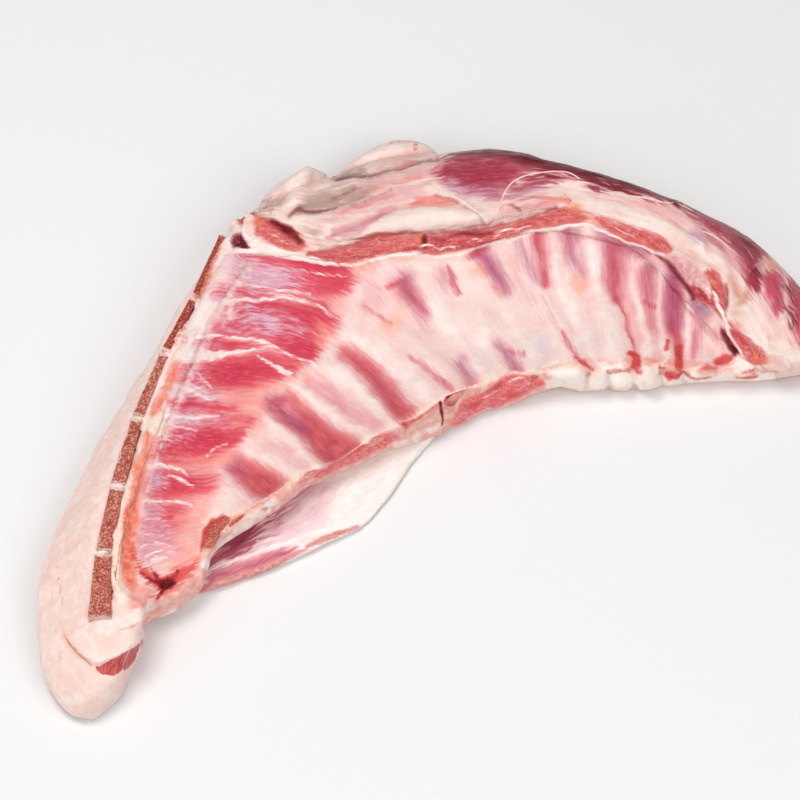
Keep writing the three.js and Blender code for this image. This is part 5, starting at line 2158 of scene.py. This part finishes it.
@dataclass
class BreastFlap(Piece):
    """The thin flap of breast that shows below the sawn rib ends."""

    name: str = "breast_flap_sheet"
    node: str = "breast_flap"
    slot: str = "flap"
    neighbours: Tuple[str, ...] = ("rib_wall",)
    voxel: float = 0.6
    rounds: int = 6
    uneven: float = 0.4
    seed: int = 71
    tissues: Tissues = field(default_factory=lambda: FLAP_TISSUES)

    def trims(self) -> Tuple[Trim, ...]:
        """Gives the outline of the flap's free edge."""
        return (Trim((160, 604, 190, 597, 224, 586, 266, 572, 307, 552, 331, 540, 357, 530, 366, 527, 381,
                      506, 400, 484, 420, 461, 432, 442, 445, 428), upper=False),)

    def forms(self) -> tuple:
        """Gives the raised cut rim and the low folds of the sheet."""
        return (
            Ridge((170, 600, 224, 584, 266, 570, 307, 550, 331, 538, 357, 529), 0.9, 4),
            Ridge((205, 573, 256, 554, 313, 536, 349, 528), -0.6, 2.4),
            Ridge((300, 500, 345, 489, 400, 464), 0.6, 5),
        )

    def flow(self) -> Tuple[Line, ...]:
        """Gives the run of the flap's strands."""
        return ((180, 598, 230, 572, 300, 535, 360, 490, 430, 440),)

    def finish(self) -> Finish:
        """Gives the thin membrane over muscle."""
        layers = (
            Layer("lilac", 0xF8DCDE, 0xE8BCC6, 1.6, 0.6, 0.5, 0.9, FIBRE),
            # dark purple muscle and painted shade
            Layer("deep", 0xB24C60, 0x88283A, 1.2, 0.8, 0.5, 0.95, FIBRE),
            Layer("rose", 0xDC8A96, 0xBC5C70, 1, 0.8, 0.5, 0.95, FIBRE),
            Layer("threads", 0xF6D2C0, 0xECB8A8, 1, 0.8, 0.5, 0.7, FIBRE),
            Layer("pale", 0xFFF7F2, 0xFBEAE4, 1.2, 0.8, 0.5, 0.9, FIBRE),
            Layer("rim", 0xE8AAA2, 0xCC7E7A, 2.2, 0.6, 0.5),
            Layer("outer", 0xF2D4C8, 0xD6928A, 5, 0.5, 0.3),
        )
        return Finish("flap_membrane", 0xFFF6F1, 0xF9E6E0, layers, size=5.0)


@dataclass
class Tendons(Piece):
    """The white cords that lie on the flank, as round strands of tapering width."""

    name: str = "flank_tendons"
    node: str = ""
    slot: str = "membrane"
    carrier: str = "flank_fold"
    sides: int = 10
    sunk: float = 0.62
    slim: float = 0.72
    smoothing: int = 3
    strands: Tuple[Tuple[Line, Tuple[float, ...]], ...] = (
        ((494, 226, 495, 216, 500, 205, 503, 196, 508, 186, 517, 178, 534, 173, 550, 171.5, 564, 171, 573,
          174, 580, 179),
         (1.5, 0.9, 0.7, 0.6, 0.5, 0.5, 0.5, 0.5, 0.4)),
        ((426, 185, 440, 190, 456, 197, 471, 207, 483, 217, 493, 226), (0.3, 0.7, 0.9, 0.9, 1.0, 1.3)),
        ((600, 191, 622, 195.5, 643, 197, 656, 200, 666, 204, 679, 201.5), (0.3, 0.6, 0.7, 0.6, 0.3)),
        ((702, 231, 711, 234, 720, 239, 731, 250), (0.3, 0.6, 0.6, 0.3)),
    )

    def build(self, frame: dict) -> bpy.types.Object:
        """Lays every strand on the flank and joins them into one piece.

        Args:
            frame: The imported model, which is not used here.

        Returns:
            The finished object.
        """
        carrier = bpy.data.objects[self.carrier].data
        faces = [tuple(face.vertices) for face in carrier.polygons]
        tree = BVHTree.FromPolygons([v.co for v in carrier.vertices], faces)
        points: List[np.ndarray] = []
        polygons: List[Tuple[int, ...]] = []
        for line, radii in self.strands:
            self.lay(tree, line, radii, points, polygons)
        mesh = bpy.data.meshes.new(self.name)
        mesh.from_pydata([tuple(p) for p in points], [], polygons)
        mesh.polygons.foreach_set("use_smooth", np.ones(len(polygons), bool))
        skin = Skin(mesh)
        skin.store("place", skin.points / MM)
        mesh.materials.append(self.finish().material())
        return self.join(mesh)

    def lay(self, tree: BVHTree, line: Line, radii: Tuple[float, ...], points: List[np.ndarray],
            polygons: List[Tuple[int, ...]]) -> None:
        """Lays one strand where the eye sees its line on the flank.

        Args:
            tree: The flank's surface.
            line: The strand's pixels.
            radii: Its radius along the line, in millimetres.
            points: The mesh's points, which grow.
            polygons: The mesh's faces, which grow.
        """
        eye = Vector(SIGHT.eye())
        hits = [tree.ray_cast(eye, Vector(SIGHT.ray(spot))) for spot in rounded(line)]
        path = [(np.array(hit[0]), np.array(hit[1])) for hit in hits if hit[0] is not None]
        middle = np.array([place for place, _ in path])
        for _ in range(self.smoothing):
            middle[1:-1] = 0.25 * middle[:-2] + 0.5 * middle[1:-1] + 0.25 * middle[2:]
        share = np.linspace(0, 1, len(path))
        radius = np.interp(share, np.linspace(0, 1, len(radii)), radii) * self.slim * MM
        ways = np.gradient(middle, axis=0)
        start = len(points)
        for i, (_, normal) in enumerate(path):
            way = ways[i] / np.linalg.norm(ways[i])
            out = normal - way * (normal @ way)
            out /= np.linalg.norm(out)
            side = np.cross(way, out)
            for k in range(self.sides):
                turn = 2 * math.pi * k / self.sides
                ring = math.cos(turn) * side + (math.sin(turn) + 1 - 2 * self.sunk) * out
                points.append(middle[i] + radius[i] * ring)
        for i in range(len(path) - 1):
            for k in range(self.sides):
                a, b = start + i * self.sides + k, start + i * self.sides + (k + 1) % self.sides
                polygons.append((a, b, b + self.sides, a + self.sides))
        last = start + (len(path) - 1) * self.sides
        polygons.append(tuple(range(start + self.sides - 1, start - 1, -1)))
        polygons.append(tuple(range(last, last + self.sides)))

    def finish(self) -> Finish:
        """Gives shiny white sinew."""
        return Finish("tendon", 0xFAE8DE, 0xF0CCBE, size=2.5, gloss=0.12,
                      bumps=((Weave.CLOUD, 0.8, 0.06),))


@dataclass(frozen=True)
class Studio:
    """The pale floor, the soft lights and the camera."""

    floor: float = 6.0
    white: float = 0.86
    dull: float = 0.9
    ambient: float = 0.34
    lights: Tuple[Tuple[str, Tuple[float, float, float], float, float], ...] = (
        ("key", (-0.35, 0.2, 1.5), 0.6, 11.0), ("fill", (0.25, -0.95, 1.1), 1.0, 7.0),
        ("side", (-1.1, -0.2, 0.8), 0.8, 2.8))

    def build(self) -> None:
        """Sets the stage."""
        scene = bpy.context.scene
        scene.view_settings.view_transform = "Standard"
        scene.view_settings.look = "None"
        self.lay_floor()
        for name, place, size, power in self.lights:
            self.light(name, place, size, power)
        world = bpy.data.worlds.new("room")
        world.use_nodes = True
        shine = world.node_tree.nodes["Background"]
        shine.inputs["Color"].default_value = (1.0, 1.0, 1.0, 1.0)
        shine.inputs["Strength"].default_value = self.ambient
        scene.world = world
        self.aim_camera()

    def lay_floor(self) -> None:
        """Lays the pale floor under the meat."""
        half = self.floor / 2
        mesh = bpy.data.meshes.new("floor")
        square = [(-half, -half, 0), (half, -half, 0), (half, half, 0), (-half, half, 0)]
        mesh.from_pydata(square, [], [(0, 1, 2, 3)])
        material = bpy.data.materials.new("floor")
        material.use_nodes = True
        shader = material.node_tree.nodes["Principled BSDF"]
        shader.inputs["Base Color"].default_value = (self.white, self.white, self.white, 1.0)
        shader.inputs["Roughness"].default_value = self.dull
        mesh.materials.append(material)
        floor = bpy.data.objects.new("floor", mesh)
        bpy.context.scene.collection.objects.link(floor)

    def light(self, name: str, place: Tuple[float, float, float], size: float, power: float) -> None:
        """Hangs one soft light that faces the meat.

        Args:
            name: Its name.
            place: Where it hangs, in metres.
            size: Its side in metres.
            power: Its power in watts.
        """
        lamp = bpy.data.lights.new(name, "AREA")
        lamp.energy = power
        lamp.size = size
        holder = bpy.data.objects.new(name, lamp)
        holder.location = place
        holder.rotation_euler = (-Vector(place)).to_track_quat("-Z", "Y").to_euler()
        bpy.context.scene.collection.objects.link(holder)

    def aim_camera(self) -> None:
        """Sets the camera at the photograph's viewpoint."""
        data = bpy.data.cameras.new("camera")
        data.lens = SIGHT.lens
        data.sensor_width = SIGHT.sensor
        data.clip_end = 100.0
        camera = bpy.data.objects.new("camera", data)
        camera.location = SIGHT.eye()
        camera.rotation_euler = Vector(-SIGHT.axes()[2]).to_track_quat("-Z", "Y").to_euler()
        bpy.context.scene.collection.objects.link(camera)
        bpy.context.scene.camera = camera


def main() -> None:
    """Loads the frame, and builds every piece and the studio."""
    logging.basicConfig(level=logging.INFO, format="%(message)s")
    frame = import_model()
    pieces: List[Piece] = [RibWall(), Brisket(), Flank(), Tendons(), Skirt(), BreastFlap()]
    pieces += [Breastbone(number=i + 1) for i in range(BREASTBONE_COUNT)]
    pieces += [RibBone(number=i + 1) for i in range(RIB_COUNT)]
    for piece in pieces:
        made = piece.build(frame)
        LOG.info("%s: %d faces", made.name, len(made.data.polygons))
    Studio().build()


if __name__ == "__main__":
    main()
